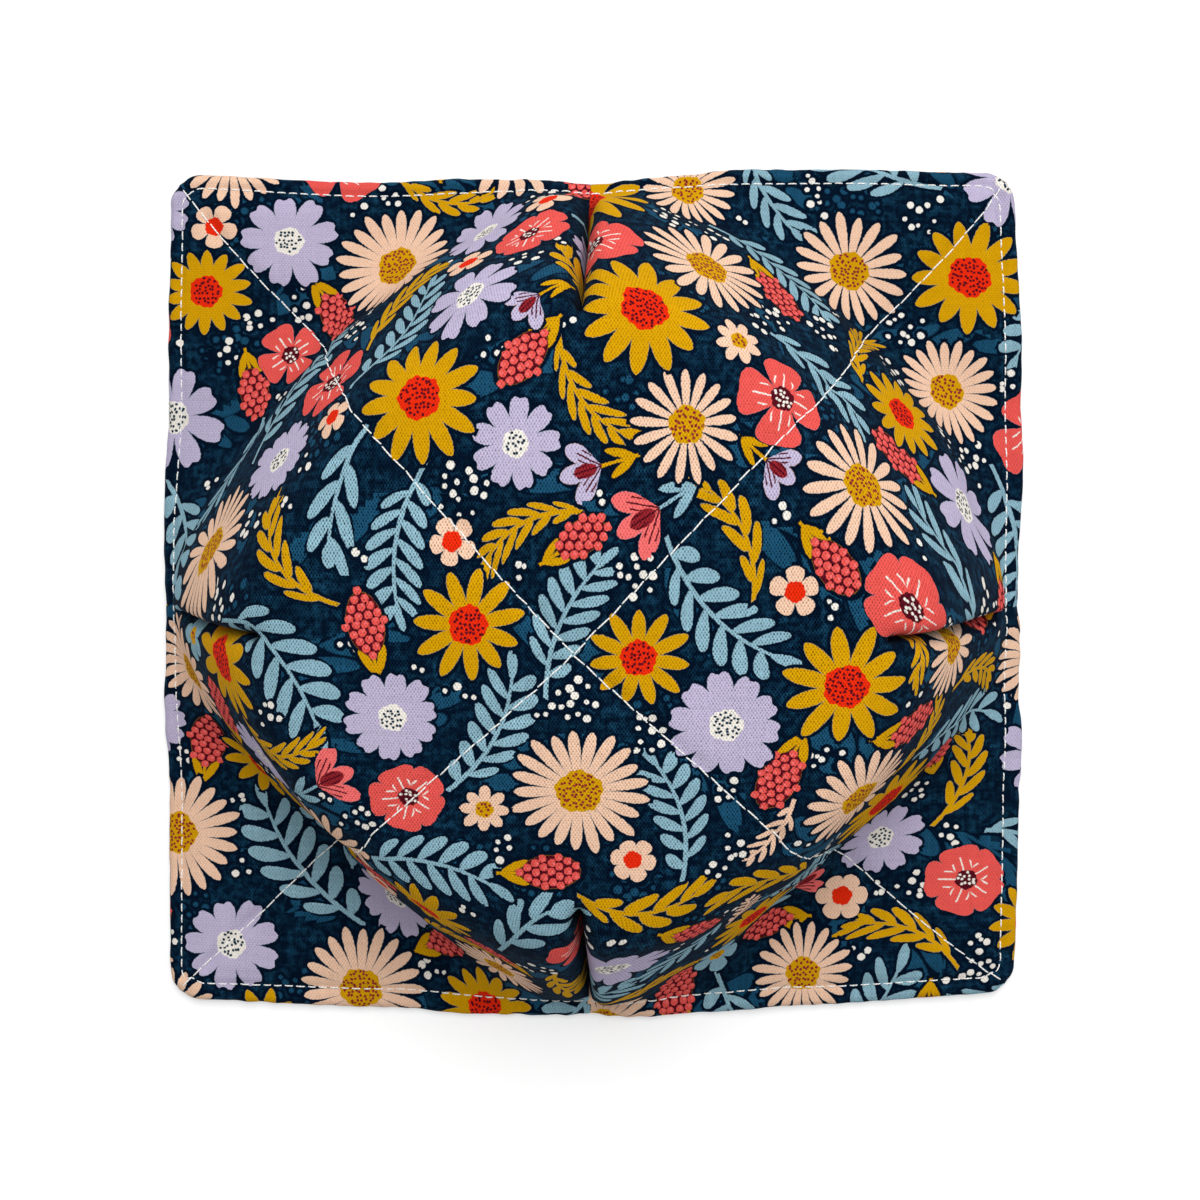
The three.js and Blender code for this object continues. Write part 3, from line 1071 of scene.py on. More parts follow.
@dataclass
class PrintNodes:
    """The node groups that draw the print, in mm.

    A shape is a signed distance, positive inside it and NOWHERE where it has no part.
    """

    halo: float = 0.8
    petal_unevenness: float = 0.13
    vein_spacing: float = 0.4
    vein_half: float = 0.17
    leaf_point: float = 0.6
    sprig_stem: float = 0.42
    stem_half: float = 0.33
    kept_in_bud: float = 1.5
    berry_size: float = 2.05
    row_spacing: float = 0.82
    berry_radius: float = 0.45
    spot_radius: float = 0.17
    seed_spacing: float = 2.7
    heart_spacing: float = 0.98
    seed_stray: float = 31.0
    leaf_slope: float = math.radians(24.0)

    def __post_init__(self) -> None:
        """Builds the groups."""
        self.palette = self.palette_group()
        self.petals = self.petals_group()
        self.leaves = self.leaves_group()
        self.cluster = self.cluster_group()
        self.motif = self.motif_group()

    @staticmethod
    def palette_group() -> Group:
        """The inks in a row of flat steps, looked up by their number.

        Returns:
            The group.
        """
        group = Group("cotton_inks", "Ink", "Colour")
        (number,) = group.inputs()
        count = float(len(Ink))
        node = new_node(group.tree, "ValToRGB", {"Fac": (number + 0.5) / count})
        ramp = node.color_ramp
        ramp.interpolation = "CONSTANT"
        for ink in Ink:
            stop = ramp.elements.new(ink.place / count) if ink.place else ramp.elements[0]
            stop.position = ink.place / count
            stop.color = linear(ink.value)
        ramp.elements.remove(ramp.elements[len(ramp.elements) - 1])
        return group.giving(node.outputs["Color"])

    def petals_group(self) -> Group:
        """Petals around a middle.

        The bearing is folded into one petal's share of the turn. Along the petal its half width
        grows as a power of the distance and closes towards the tip, which may be notched. Each
        petal is a little shorter or longer than the next. A bud keeps only three of them.

        Returns:
            The group, with the petals, their veins, and the distance from the middle.
        """
        group = Group("cotton_petals", "Place Reach Count Width Point Notch Seed Kept", "Petal Vein Away")
        place, reach, count, width, point, notch, seed, kept = group.inputs()
        along, across, _ = parted(place)
        away = length_of(along, across)
        turns = across.bearing(along) * count / TURN
        petal = turns.rounded()
        angle = (turns - petal) * TURN / count
        odd = chance(petal.modulo(count) + seed * SEED_STEP)
        inwards = away * angle.cosine()
        aside = abs(away * angle.sine())
        broad = width * reach
        notched = ((aside / (broad * 0.36)) ** 2.0 * -1.0).exponent() * notch
        tip = reach * (1.0 - odd * self.petal_unevenness) * (1.0 - notched)
        half = leaf_half(broad * 1.25, (inwards / tip).held(0.0, 1.0), 0.75, point, 0.6)
        gap = broad * self.vein_spacing
        line = abs(aside - (aside / gap).rounded() * gap)
        vein = (self.vein_half - line).least(half * 0.72 - aside).least(tip * 0.7 - inwards - aside * 0.8)
        shown = abs(petal) < kept
        distance = (half - aside).least(tip - inwards)
        return group.giving(chosen(shown, NOWHERE, distance), chosen(shown, NOWHERE, vein), away)

    def leaves_group(self) -> Group:
        """A bent stem with slanted leaves on both sides.

        Both sides of the stem are cut into slanted cells, one leaf in each, and the cells of the two
        sides are half a leaf apart. Leaves grow from the foot to the middle and shrink to the tip,
        and one more leaf ends the stem.

        Returns:
            The group.
        """
        group = Group("cotton_leaves", "Place Reach Count Width Length Round Bend Slant", "Leaf")
        place, reach, count, width, length, ending, bend, slant = group.inputs()
        along, across, _ = parted(place)
        share = along / reach
        bent = across - (share * share - 0.3) * reach * bend
        aside = abs(bent)
        pitch = reach * 2.0 / count
        stretched = (slant * slant + 1.0).root()
        slanted = along - slant * aside + bent.sign() * pitch * 0.25
        cell = (slanted / pitch).rounded() * pitch
        off = abs(slanted - cell) / stretched
        out = aside * stretched
        rise = (cell / reach + 1.0) * 0.5
        growth = ((rise * 0.82 + 0.11) * math.pi).sine().most(0.02) ** 0.7
        longest = growth * reach * length
        broad = pitch * width * (growth * 0.35 + 0.65) * 1.3
        half = leaf_half(broad, (out / longest).held(0.0, 1.0), self.leaf_point, ending, self.leaf_point)
        leaf = chosen(abs(rise - 0.47) < 0.4, NOWHERE, (half - off).least(longest - out))
        stem = (self.sprig_stem - share * 0.14 - aside).least(reach * 0.9 - along).least(along + reach)
        part = ((share - 0.66) / 0.34).held(0.0, 1.0)
        last = leaf_half(broad, part, self.leaf_point, ending, self.leaf_point) - aside
        last = last.least(reach - along).least(along - reach * 0.66)
        return group.giving(leaf.most(stem).most(last))

    def cluster_group(self) -> Group:
        """Berries packed in rows inside an oval, each with a small light spot.

        The rows are half a berry apart, and a berry belongs to the cluster where its own middle lies
        in the oval.

        Returns:
            The group, with the oval, the berries and their spots.
        """
        group = Group("cotton_cluster", "Place Reach Width", "Oval Berry Spot")
        place, reach, width = group.inputs()
        along, across, _ = parted(place)
        size = self.berry_size
        rise = size * self.row_spacing
        row = (along / rise).floor()
        shift = row.modulo(2.0) * 0.5
        middle_along = (row + 0.5) * rise
        middle_across = ((across / size + shift).floor() + 0.5 - shift) * size

        def oval(u: Value, v: Value) -> Value:
            """1 at the oval's middle, 0 on its line and less outside."""
            return 1.0 - length_of((u - reach * 0.25) / (reach * 0.75), v / (width * reach))

        inside = oval(middle_along, middle_across) > 0.02
        odd = chance(middle_along * 3.7 + middle_across * 5.3)
        du = along - middle_along + (odd - 0.5) * 0.45
        dv = across - middle_across + (chance(odd * 91.0) - 0.5) * 0.4
        berry = chosen(inside, NOWHERE, size * self.berry_radius - length_of(du, dv * 1.08))
        spot = chosen(inside, NOWHERE, size * self.spot_radius - length_of(du - 0.28, dv + 0.22))
        return group.giving(oval(along, across) * width * reach - 0.35, berry, spot)

    def stems(self, along: Value, across: Value, reach: Value, is_bud: Value) -> Value:
        """The stem and two leaves of a bud or a berry cluster.

        Args:
            along, across: The place.
            reach: The motif's reach.
            is_bud: 1 on a bud.

        Returns:
            The shape.
        """
        top = chosen(is_bud, reach * -0.42, reach * -0.05)
        stem = (self.stem_half - abs(across)).least(along + reach).least(top - along)
        cos, sin = math.cos(self.leaf_slope), math.sin(self.leaf_slope)
        foot = along + reach * 0.92
        leaf_along = foot * cos + abs(across) * sin
        leaf_across = abs(abs(across) * cos - foot * sin)
        length = reach * 0.72
        half = leaf_half(length * 0.26, (leaf_along / length).held(0.0, 1.0), 0.7, 1.8, 0.7)
        return stem.most((half - leaf_across).least(length - leaf_along))

    def seeds(self, along: Value, across: Value, bound: Value, seed: Value, is_seeds: Value) -> Value:
        """Little seeds in cells of seeded places: on a flower's heart, or scattered by themselves.

        Args:
            along, across: The place.
            bound: How far out they lie.
            seed: The motif's seed.
            is_seeds: 1 where they are the whole motif.

        Returns:
            The shape.
        """
        spacing = chosen(is_seeds, self.heart_spacing, self.seed_spacing)
        moved = joined(along + seed * self.seed_stray, across)
        inputs = {"Vector": moved, "Scale": spacing**-1.0, "Randomness": 0.72}
        cells = new_node(along.tree, "TexVoronoi", inputs, voronoi_dimensions="2D").outputs
        seed_along, seed_across, _ = parted(cells["Position"])
        out = length_of(seed_along - seed * self.seed_stray, seed_across)
        size = chosen(is_seeds, 0.31, chance(seed_along * 7.0 + seed_across) * 0.48 + 0.42)
        return (size - Value(cells["Distance"]) * spacing).least((bound - out) * 40.0)

    def motif_group(self) -> Group:
        """One motif of any kind.

        Returns:
            The group, with its colour, how much it covers, and the bare ground around it.
        """
        group = Group("cotton_motif", "Place Form Style Trim Inks Soft", "Colour Cover Halo")
        tree = group.tree
        place, form, style, trim, inks, soft = group.inputs()
        along, across, _ = parted(place)
        coded, reach, count = parted(form)
        width, point, heart = parted(style)
        notch, vein, seed = parted(trim)
        kind = coded.floor()
        is_sprig, is_berries, is_bud, is_seeds = (
            kind.near(float(sort), 0.5) for sort in (Kind.SPRIG, Kind.BERRIES, Kind.BUD, Kind.SEEDS)
        )
        moved = joined(along + reach * is_bud * 0.12, across)
        kept = 99.0 - is_bud * (99.0 - self.kept_in_bud)
        bloom = (reach, count, width, point, notch, seed, kept)
        petal, petal_vein, away = self.petals.placed(tree, moved, *bloom)
        (leaf,) = self.leaves.placed(tree, place, reach, count, width, point, heart, notch, vein)
        oval, berry, spot = self.cluster.placed(tree, place, reach, width)
        bearing = across.bearing(along)
        wavy = 1.0 + (bearing * 5.0 + seed * 6.0).sine() * 0.05 + (bearing * 13.0).sine() * 0.03
        disc = heart * reach * wavy - away
        long, broad = reach * 0.27, reach * 0.15
        inner = (1.0 - length_of((along - reach * 0.26) / long, across / broad)) * broad
        seeds = self.seeds(along, across, chosen(is_seeds, heart * reach - 0.45, reach), seed, is_seeds)

        body = chosen(is_bud, petal.most(disc), petal)
        body = chosen(is_sprig, body, leaf)
        body = chosen(is_berries, body, oval.most(berry))
        body = chosen(is_seeds, body, seeds)
        plain = is_sprig.most(is_seeds)
        middle = chosen(is_berries, chosen(plain, chosen(is_bud, disc, inner), NOWHERE), berry)
        strokes = chosen(vein > 0.5, NOWHERE, petal_vein.least(away - heart * reach))
        detail = chosen(plain, chosen(is_bud, seeds.most(strokes), petal_vein), NOWHERE)
        detail = chosen(is_berries, detail, spot)
        has_stem = is_bud.most(is_berries)
        whole = body.most(chosen(has_stem, NOWHERE, self.stems(along, across, reach, is_bud)))

        def ink(number: Value) -> Socket:
            """The colour of an ink."""
            return self.palette.placed(tree, number)[0]

        def edge(distance: Value) -> Value:
            """How much ink lies at a signed distance from a shape's edge."""
            return distance.ramped(soft * -1.0, soft)

        colour = ink((coded - kind) * INKS_IN_KIND)
        for shape, number in zip((body, middle, detail), parted(inks)):
            colour = painted(edge(shape), colour, ink(number))
        return group.giving(colour, edge(whole), edge(whole + self.halo))


def weave_group() -> Group:
    """A plain weave: two sets of round threads that pass over and under each other.

    The product of two sines changes sign from one crossing to the next, so it says which thread is
    on top. Each thread is round across its own width and bows where it comes up. Noise drawn out
    along the threads makes some of them thicker. The threads along X are the thicker ones.

    Returns:
        The group, with the cloth's height, how bare of thread a place is, how thick its thread is
        and how far the thicker threads dip, all from 0 to 1.
    """
    group = Group("plain_weave", "Place Thread", "Height Gap Slub Dip")
    place, thread = group.inputs()
    along, across, _ = parted(place)
    finer = thread * 0.62
    bow_x = (along / finer * math.pi).sine()
    bow_y = (across / thread * math.pi).sine()
    crossing = bow_x * bow_y
    on_top = crossing.ramped(-0.12, 0.12)
    round_x, round_y = abs(bow_x) ** 0.6, abs(bow_y) ** 0.6
    height = chosen(on_top, round_x * (round_y * 0.5 + 0.5), round_y * (round_x * 0.5 + 0.5))
    slub_x = cloudy(joined(along / finer, across * 0.12), 0.55, 1.0)
    slub_y = cloudy(joined(along * 0.12, across / thread), 0.55, 1.0)
    slub = chosen(on_top, slub_x, slub_y)
    dip = crossing.ramped(0.15, -0.75, "SMOOTHSTEP")
    return group.giving(height * (slub * 0.5 + 0.75), 1.0 - round_x.least(round_y), slub, dip)


# --- Finishes ---


def new_material(name: str) -> tuple[Material, Tree, bpy.types.Node]:
    """A material with a plain Principled shader.

    Args:
        name: Its name.

    Returns:
        The material, its tree and the shader.
    """
    material = bpy.data.materials.new(name)
    material.use_nodes = True
    return material, material.node_tree, material.node_tree.nodes["Principled BSDF"]


def from_map(tree: Tree, name: str) -> Socket:
    """Places of a UV map, as a vector."""
    return new_node(tree, "UVMap", {}, uv_map=name).outputs["UV"]


def from_attribute(tree: Tree, name: str, output: str = "Vector") -> Socket:
    """An attribute of the mesh, as a vector or by another output of its node."""
    return new_node(tree, "Attribute", {}, attribute_name=name).outputs[output]


def finished(shader: bpy.types.Node, height: Value, distance: float, strength: float, inputs: dict) -> None:
    """Feeds a shader's inputs, and its normal from a height.

    Args:
        shader: The shader.
        height: Height, from 0 to 1.
        distance: What a height of 1 stands for, in metres.
        strength: How much of it shows.
        inputs: What its other inputs get, by name.
    """
    bump = new_node(shader.id_data, "Bump", {"Distance": distance, "Strength": strength, "Height": height})
    for name, value in {**inputs, "Normal": bump.outputs["Normal"]}.items():
        feed(shader.inputs[name], value)


@dataclass(frozen=True)
class Cotton:
    """Woven cotton. The threads' width is in mm and the weave's height in metres."""

    thread: float = 0.56
    weave_height: float = 0.00012
    weave_strength: float = 0.6


class Clouds(NamedTuple):
    """Soft clouds of noise: how many to a mm, where in the noise they start and end, and their strength."""

    scale: float
    start: float
    end: float
    strength: float = 1.0

    def over(self, place: Socket) -> Value:
        """Their strength at a place."""
        return cloudy(place, self.scale).ramped(self.start, self.end) * self.strength


@dataclass(frozen=True)
class PrintedCotton(Cotton):
    """Quilting cotton with the flower print. Lengths in mm.

    The weave's painted shade between its threads shows most where the cloth is taut over the dome, up to
    the first of the two distances from its middle in taut, and least past the second. An ink counts as
    cool, and shows its thick threads paler, partly as bare fibre and partly as a painted highlight, where
    its red falls between the two values in cool_red.
    """

    fraying: float = 0.18
    crisp: float = 0.075
    soaked: float = 0.2
    mottling: Clouds = Clouds(0.6, 0.42, 0.66, 0.5)
    patches: Clouds = Clouds(0.16, 0.25, 0.6)
    slub_mottling: float = 0.26
    thick_slubs: tuple = (0.45, 0.75)
    pale_slubs: tuple = (0.55, 0.8)
    cool_red: tuple = (0.45, 0.08)
    taut: tuple = (70.0, 112.0)
    dips: Clouds = Clouds(0.03, 0.3, 0.7, 0.35)
    least_dip: float = 0.38
    slack_dips: float = 0.4
    uneven_dips: float = 1.2
    middle_dip: float = 0.35
    slub_relief: float = 0.35
    cool_relief: float = 0.75
    fibre_and_highlight_paling: float = 0.3
    gap_shade: float = 0.08
    unevenness: float = 0.1
    brightness: float = 0.86
    least_shade: float = 0.08
    painted_slit_shade: float = 0.92
    sheen: float = 0.01
    sheen_roughness: float = 0.45
    specular: float = 0.02

    def material(self, nodes: PrintNodes, weave: Group) -> Material:
        """The printed cloth.

        The ground is mottled and gets its tone-on-tone leaves, then the lower and the upper motif,
        each with a thin line of plain navy around it. The threads shift the print a little, so its
        edges are rough. Painted shade darkens the gaps between the threads and the dips where they pass
        under, most of all in the blue inks, whose thick threads are paler, partly as bare fibre and partly
        as a painted highlight. The slits of the darts get painted shade.

        Args:
            nodes: The print's node groups.
            weave: The weave's group.

        Returns:
            The material.
        """
        material, tree, shader = new_material("printed_cotton_cloth")
        cloth = from_map(tree, "cloth")
        noise = cloudy(cloth, 0.9 / self.thread, 1.0, "Color")
        fray = joined(*((part - 0.5) * self.fraying * 2.0 for part in parted(noise)))
        height, gap, slub, dip = weave.placed(tree, shifted(cloth, fray), self.thread)
        navy, deep = (nodes.palette.placed(tree, ink.place)[0] for ink in (Ink.NAVY, Ink.DEEP))
        mottled = slub.ramped(*self.thick_slubs) * self.slub_mottling + self.mottling.over(cloth)
        colour = painted(mottled * self.patches.over(cloth), navy, deep)
        for layer in Layer:
            place = shifted(from_map(tree, layer.value), fray)
            values = [from_attribute(tree, f"{layer.value}_{part}") for part in VALUE_GROUPS]
            soft = self.soaked if layer is Layer.GROUND else self.crisp
            drawn, cover, halo = nodes.motif.placed(tree, place, *values, soft)
            colour = painted(cover, painted(halo, colour, navy), drawn)
        # Painted shade of the weave: the gaps and dips between the threads are darker, and the thick threads
        # of cool inks are paler, partly as bare fibre and partly as a painted highlight.
        taut = length_of(*parted(cloth)[:2]).ramped(*reversed(self.taut))
        depth = (self.dips.over(cloth) + self.least_dip) * (taut * (1.0 - self.slack_dips) + self.slack_dips)
        dip = dip * (parted(fray)[2] / self.fraying * self.uneven_dips + 1.0)
        painted_thread_shade = (self.middle_dip - dip) * depth + (slub - 0.5) * self.slub_relief
        cool = parted(colour)[0].ramped(*self.cool_red)
        shade = self.brightness - gap * self.gap_shade + (cloudy(cloth, 0.05) - 0.5) * self.unevenness
        shade = shade + painted_thread_shade * (cool * self.cool_relief + 0.75)
        shade = shade + slub.ramped(*self.pale_slubs) * cool * self.fibre_and_highlight_paling
        # Painted shade in the darts' slits, darkest where a slit is deepest.
        shut = Value(from_attribute(tree, "shut", "Fac"))
        shade = shade.most(self.least_shade) * (1.0 - shut * self.painted_slit_shade)
        inputs = {
            "Base Color": scaled(colour, shade),
            "Roughness": 0.8 + gap * 0.12 + (slub - 0.5) * 0.1,
            "Specular IOR Level": self.specular,
            "Sheen Weight": self.sheen,
            "Sheen Roughness": self.sheen_roughness,
        }
        finished(shader, height, self.weave_height, self.weave_strength, inputs)
        return material


@dataclass(frozen=True)
class LiningCotton(Cotton):
    """Plain dark-blue cotton of the inside."""

    colour: tuple = (22, 52, 78)
    sheen: float = 0.25

    def material(self, weave: Group) -> Material:
        """The plain cloth, with painted shade in the gaps between its threads.

        Args:
            weave: The weave's group.

        Returns:
            The material.
        """
        material, tree, shader = new_material("lining_cotton_cloth")
        height, gap, slub, _ = weave.placed(tree, from_map(tree, "cloth"), self.thread)
        # Painted shade darkens the gaps between the threads; thick and thin threads vary its tone.
        inputs = {
            "Base Color": scaled(flat_colour(tree, self.colour), 1.08 - gap * 0.3 + (slub - 0.5) * 0.4),
            "Roughness": 0.82 + gap * 0.12,
            "Sheen Weight": self.sheen,
        }
        finished(shader, height, self.weave_height, self.weave_strength, inputs)
        return material


@dataclass(frozen=True)
class SewingThread:
    """Off-white cotton thread, twisted. The height of its plies is in metres."""

    colour: tuple = (250, 250, 247)
    shaded: tuple = (212, 210, 205)
    sheen: float = 0.2
    ply_slant: float = 2.4
    ply_height: float = 0.00008
    ply_strength: float = 0.5

    def material(self) -> Material:
        """Thread with fine slanted plies and painted shade between them.

        Returns:
            The material.
        """
        material, tree, shader = new_material("sewing_thread")
        along, across, _ = parted(from_map(tree, "ply"))
        ply = ((along * self.ply_slant + across * 2.0) * math.pi).sine() * 0.5 + 0.5
        # The shaded colour is painted shade in the grooves between the plies.
        dark, light = flat_colour(tree, self.shaded), flat_colour(tree, self.colour)
        inputs = {
            "Base Color": painted(ply.ramped(0.0, 0.5), dark, light),
            "Roughness": 0.62 + (1.0 - ply) * 0.25,
            "Sheen Weight": self.sheen,
        }
        finished(shader, ply, self.ply_height, self.ply_strength, inputs)
        return material


# --- Sub-assemblies ---


def new_object(name: str, points: Array, faces: list, smooth: bool = True) -> Piece:
    """An object of a mesh whose points are in millimetres, linked to the scene at the origin.

    Args:
        name: Name of the object and the mesh.
        points: The points.
        faces: Corner indices of each face.
        smooth: Whether the faces are shaded smooth.

    Returns:
        The object.
    """
    mesh = bpy.data.meshes.new(name)
    mesh.from_pydata((points * MM).tolist(), [], faces)
    mesh.polygons.foreach_set("use_smooth", np.full(len(mesh.polygons), smooth))
    mesh.update()
    return linked(name, mesh)


def linked(name: str, data: bpy.types.ID) -> Piece:
    """An object linked to the scene.

    Args:
        name: Its name.
        data: Its mesh, light or camera.

    Returns:
        The object.
    """
    made = bpy.data.objects.new(name, data)
    bpy.context.scene.collection.objects.link(made)
    return made


def set_map(mesh: bpy.types.Mesh, name: str, places: Array) -> None:
    """Adds a UV map with one place for each corner of each face."""
    layer = mesh.uv_layers.new(name=name, do_init=False)
    layer.uv.foreach_set("vector", np.ascontiguousarray(places, np.float32).ravel())


def set_values(mesh: bpy.types.Mesh, name: str, kind: str, where: str, values: Array) -> None:
    """Adds an attribute with one value for each point or face."""
    data = mesh.attributes.new(name, kind, where).data
    data.foreach_set("value" if kind == "FLOAT" else "vector", values.astype(np.float32).ravel())


def quads(row: Array, after: Array) -> Array:
    """The four corners of each face between rows and the rows after them.

    Args:
        row: Indices or places by row and step.
        after: Those of the rows after them.

    Returns:
        The same, by face and corner.
    """
    corners = (row[:, :-1], row[:, 1:], after[:, 1:], after[:, :-1])
    return np.stack(corners, axis=2).reshape(-1, 4, *row.shape[2:])


@dataclass
class CozyShell:
    """The quilted cloth: outer cotton, batting and lining in one closed shell with a round edge.

    Its grid is finest at the middle and at the rim: a line's share of the way is its step's share
    less a little of the sine of a whole turn by that share. On the map for baking, the printed
    cloth and the lining each have their width and their start.
    """

    form: ClothForm
    cells_per_half: int = 108
    crowding: float = 0.55
    edge_steps: int = 4
    printed_steps: int = 2
    bake_margin: float = 6.0
    printed_bake: tuple = (0.72, 0.005, 0.005)
    lining_bake: tuple = (0.26, 0.735, 0.005)

    def __post_init__(self) -> None:
        """Works out both faces on the grid, and moves them onto the CAD piece's place."""
        steps = np.arange(-self.cells_per_half, self.cells_per_half + 1)
        part = np.abs(steps) / self.cells_per_half
        even = part - self.crowding / TURN * np.sin(TURN * part)
        self.lines = np.sign(steps) * self.form.rim_line * even
        self.last = len(steps) - 1
        x, y = np.meshgrid(self.lines, self.lines, indexing="ij")
        self.outer, self.inner, self.shut = self.form.both_faces(x, y)
        low, high = (np.array(corner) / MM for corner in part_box(COZY_NODE))
        shift = (low + high - self.outer.min(axis=(0, 1)) - self.outer.max(axis=(0, 1))) / 2.0
        shift[2] = 0.0
        self.outer += shift
        self.inner += shift

    def rim(self) -> Array:
        """Steps of the grid around the rim, counter-clockwise from the south-west corner.

        Returns:
            Pairs of steps.
        """
        run = np.arange(self.last)
        none = np.zeros(self.last, int)
        full = none + self.last
        sides = ((run, none), (full, run), (self.last - run, full), (none, self.last - run))
        return np.concatenate([np.stack(side, axis=-1) for side in sides])

    def edge_rings(self, i: Array, j: Array) -> Array:
        """Points of the round edge: half circles from the outer face to the inner one.

        Args:
            i, j: Steps around the rim.

        Returns:
            Points by rim step and step of the half circle, without its ends.
        """
        outer = self.outer[i, j]
        middle = (outer + self.inner[i, j]) / 2.0
        up = outer - middle
        out = outer - self.outer[np.clip(i, 1, self.last - 1), np.clip(j, 1, self.last - 1)]
        rise = (up**2).sum(axis=1, keepdims=True)
        out = unit(out - up * ((out * up).sum(axis=1, keepdims=True) / rise)) * np.sqrt(rise)
        turn = (np.arange(1, self.edge_steps) / self.edge_steps * math.pi)[None, :, None]
        ring = middle[:, None] + up[:, None] * np.cos(turn) + out[:, None] * np.sin(turn)
        ring[..., 2] = np.maximum(0.0, ring[..., 2])
        return ring

    def build(self, layout: dict[Layer, PrintLayout], materials: Sequence[Material]) -> Piece:
        """Makes the shell's mesh with its maps and the print's values.

        Args:
            layout: Where the motifs lie.
            materials: The printed cloth and the lining.

        Returns:
            The object.
        """
        side = self.last + 1
        i, j = (steps.ravel() for steps in np.meshgrid(*[np.arange(self.last)] * 2, indexing="ij"))
        corner_i = np.stack([i, i + 1, i + 1, i], axis=-1)
        corner_j = np.stack([j, j, j + 1, j + 1], axis=-1)
        outer_faces = corner_i * side + corner_j
        inner_faces = (outer_faces + side * side)[:, ::-1]
        rim = self.rim()
        rings = self.edge_rings(*rim.T)
        column = (rim[:, 0] * side + rim[:, 1])[:, None]
        middle = 2 * side * side + np.arange(rings[..., 0].size).reshape(len(rim), -1)
        table = np.concatenate([column, middle, column + side * side], axis=1)
        edge_faces = quads(table, np.roll(table, -1, axis=0))
        points = np.concatenate([part.reshape(-1, 3) for part in (self.outer, self.inner, rings)])
        faces = np.concatenate([outer_faces, inner_faces, edge_faces])
        made = new_object("cozy_cloth", points, faces.tolist())

        sign_x, sign_y = (
            np.where(steps >= self.cells_per_half, 1.0, -1.0)[:, None] + np.zeros(4) for steps in (i, j)
        )
        flat = self.form.flat_place(self.lines[corner_i], self.lines[corner_j], sign_x, sign_y)
        places = np.concatenate([flat, flat[:, ::-1], self.edge_places(rim)])
        edge_printed = np.tile(np.arange(self.edge_steps), len(rim)) < self.printed_steps
        printed = np.concatenate([np.ones(len(flat), bool), np.zeros(len(flat), bool), edge_printed])
        self.dress(made.data, places, printed, layout)
        for material in materials:
            made.data.materials.append(material)
        return made

    def edge_places(self, rim: Array) -> Array:
        """Flat places of the round edge's faces: the rim's own, moved outwards along the edge.

        Args:
            rim: Steps around the rim.

        Returns:
            Flat places of the corners, face by face.
        """
        following = np.roll(rim, -1, axis=0)
        centre = (rim + following) / 2.0
        half = float(self.cells_per_half)
        sign = np.where(centre >= half, 1.0, -1.0)
        away = np.abs(centre - half)
        outwards = np.where(away == away.max(axis=1, keepdims=True), sign, 0.0)[:, None]
        arc = np.arange(self.edge_steps + 1) / self.edge_steps * math.pi * self.form.edge_thickness / 2.0
        here, there = (
            self.form.flat_place(*self.lines[steps.T], *sign.T)[:, None] + outwards * arc[None, :, None]
            for steps in (rim, following)
        )
        return quads(here, there)

    def dress(
        self, mesh: bpy.types.Mesh, places: Array, printed: Array, layout: dict[Layer, PrintLayout]
    ) -> None:
        """Gives the shell its maps, the print's values and its materials' indices.

        Args:
            mesh: The shell's mesh.
            places: Flat places of the corners of all its faces.
            printed: Which faces carry the print.
            layout: Where the motifs lie.
        """
        set_map(mesh, "cloth", places)
        set_map(mesh, "OFBake", self.bake_places(places, printed))
        middle = places.mean(axis=1)
        over, under = layout[Layer.OVER].nearest_two(middle)
        ground, _ = layout[Layer.GROUND].nearest_two(middle)
        for layer, source, motif in (
            (Layer.GROUND, layout[Layer.GROUND], ground),
            (Layer.UNDER, layout[Layer.OVER], under),
            (Layer.OVER, layout[Layer.OVER], over),
        ):
            local = source.local_places(motif, places)
            set_map(mesh, layer.value, np.where(printed[:, None, None], local, 0.0))
            for title, values in zip(VALUE_GROUPS, source.values(motif)):
                kept = np.where(printed[:, None], values, 0.0)
                set_values(mesh, f"{layer.value}_{title}", "FLOAT_VECTOR", "FACE", kept)
        # How deep in a dart's slit each point lies; the printed cloth turns it into painted shade.
        shut = np.zeros(len(mesh.vertices))
        shut[: self.shut.size] = self.shut.ravel()
        set_values(mesh, "shut", "FLOAT", "POINT", shut)
        mesh.polygons.foreach_set("material_index", np.where(printed, 0, 1).astype(np.int32))
        mesh.uv_layers["cloth"].active_render = True
        mesh.update()

    def bake_places(self, places: Array, printed: Array) -> Array:
        """A map with a place of its own for every face: the printed cloth large, the lining small.

        Args:
            places: Flat places of the corners.
            printed: Which faces carry the print.

        Returns:
            Places from 0 to 1.
        """
        width = 2.0 * (self.form.half_side + self.bake_margin)
        even = (places + width / 2.0) / width
        large, small = (even * share + start for share, *start in (self.printed_bake, self.lining_bake))
        return np.where(printed[:, None, None], large, small)

    def surface(self, place: Array) -> Array:
        """Points of the outer face at any places on the closed square, between the grid's points.

        Args:
            place: Places, with two values in the last axis.

        Returns:
            The points.
        """
        at = np.clip(np.interp(place, self.lines, np.arange(self.last + 1)), 0.0, self.last - 1e-6)
        step = at.astype(int)
        i, j = step[..., 0], step[..., 1]
        part_x, part_y = (at - step)[..., :1], (at - step)[..., 1:]
        low = blended(self.outer[i, j], self.outer[i + 1, j], part_x)
        high = blended(self.outer[i, j + 1], self.outer[i + 1, j + 1], part_x)
        return blended(low, high, part_y)


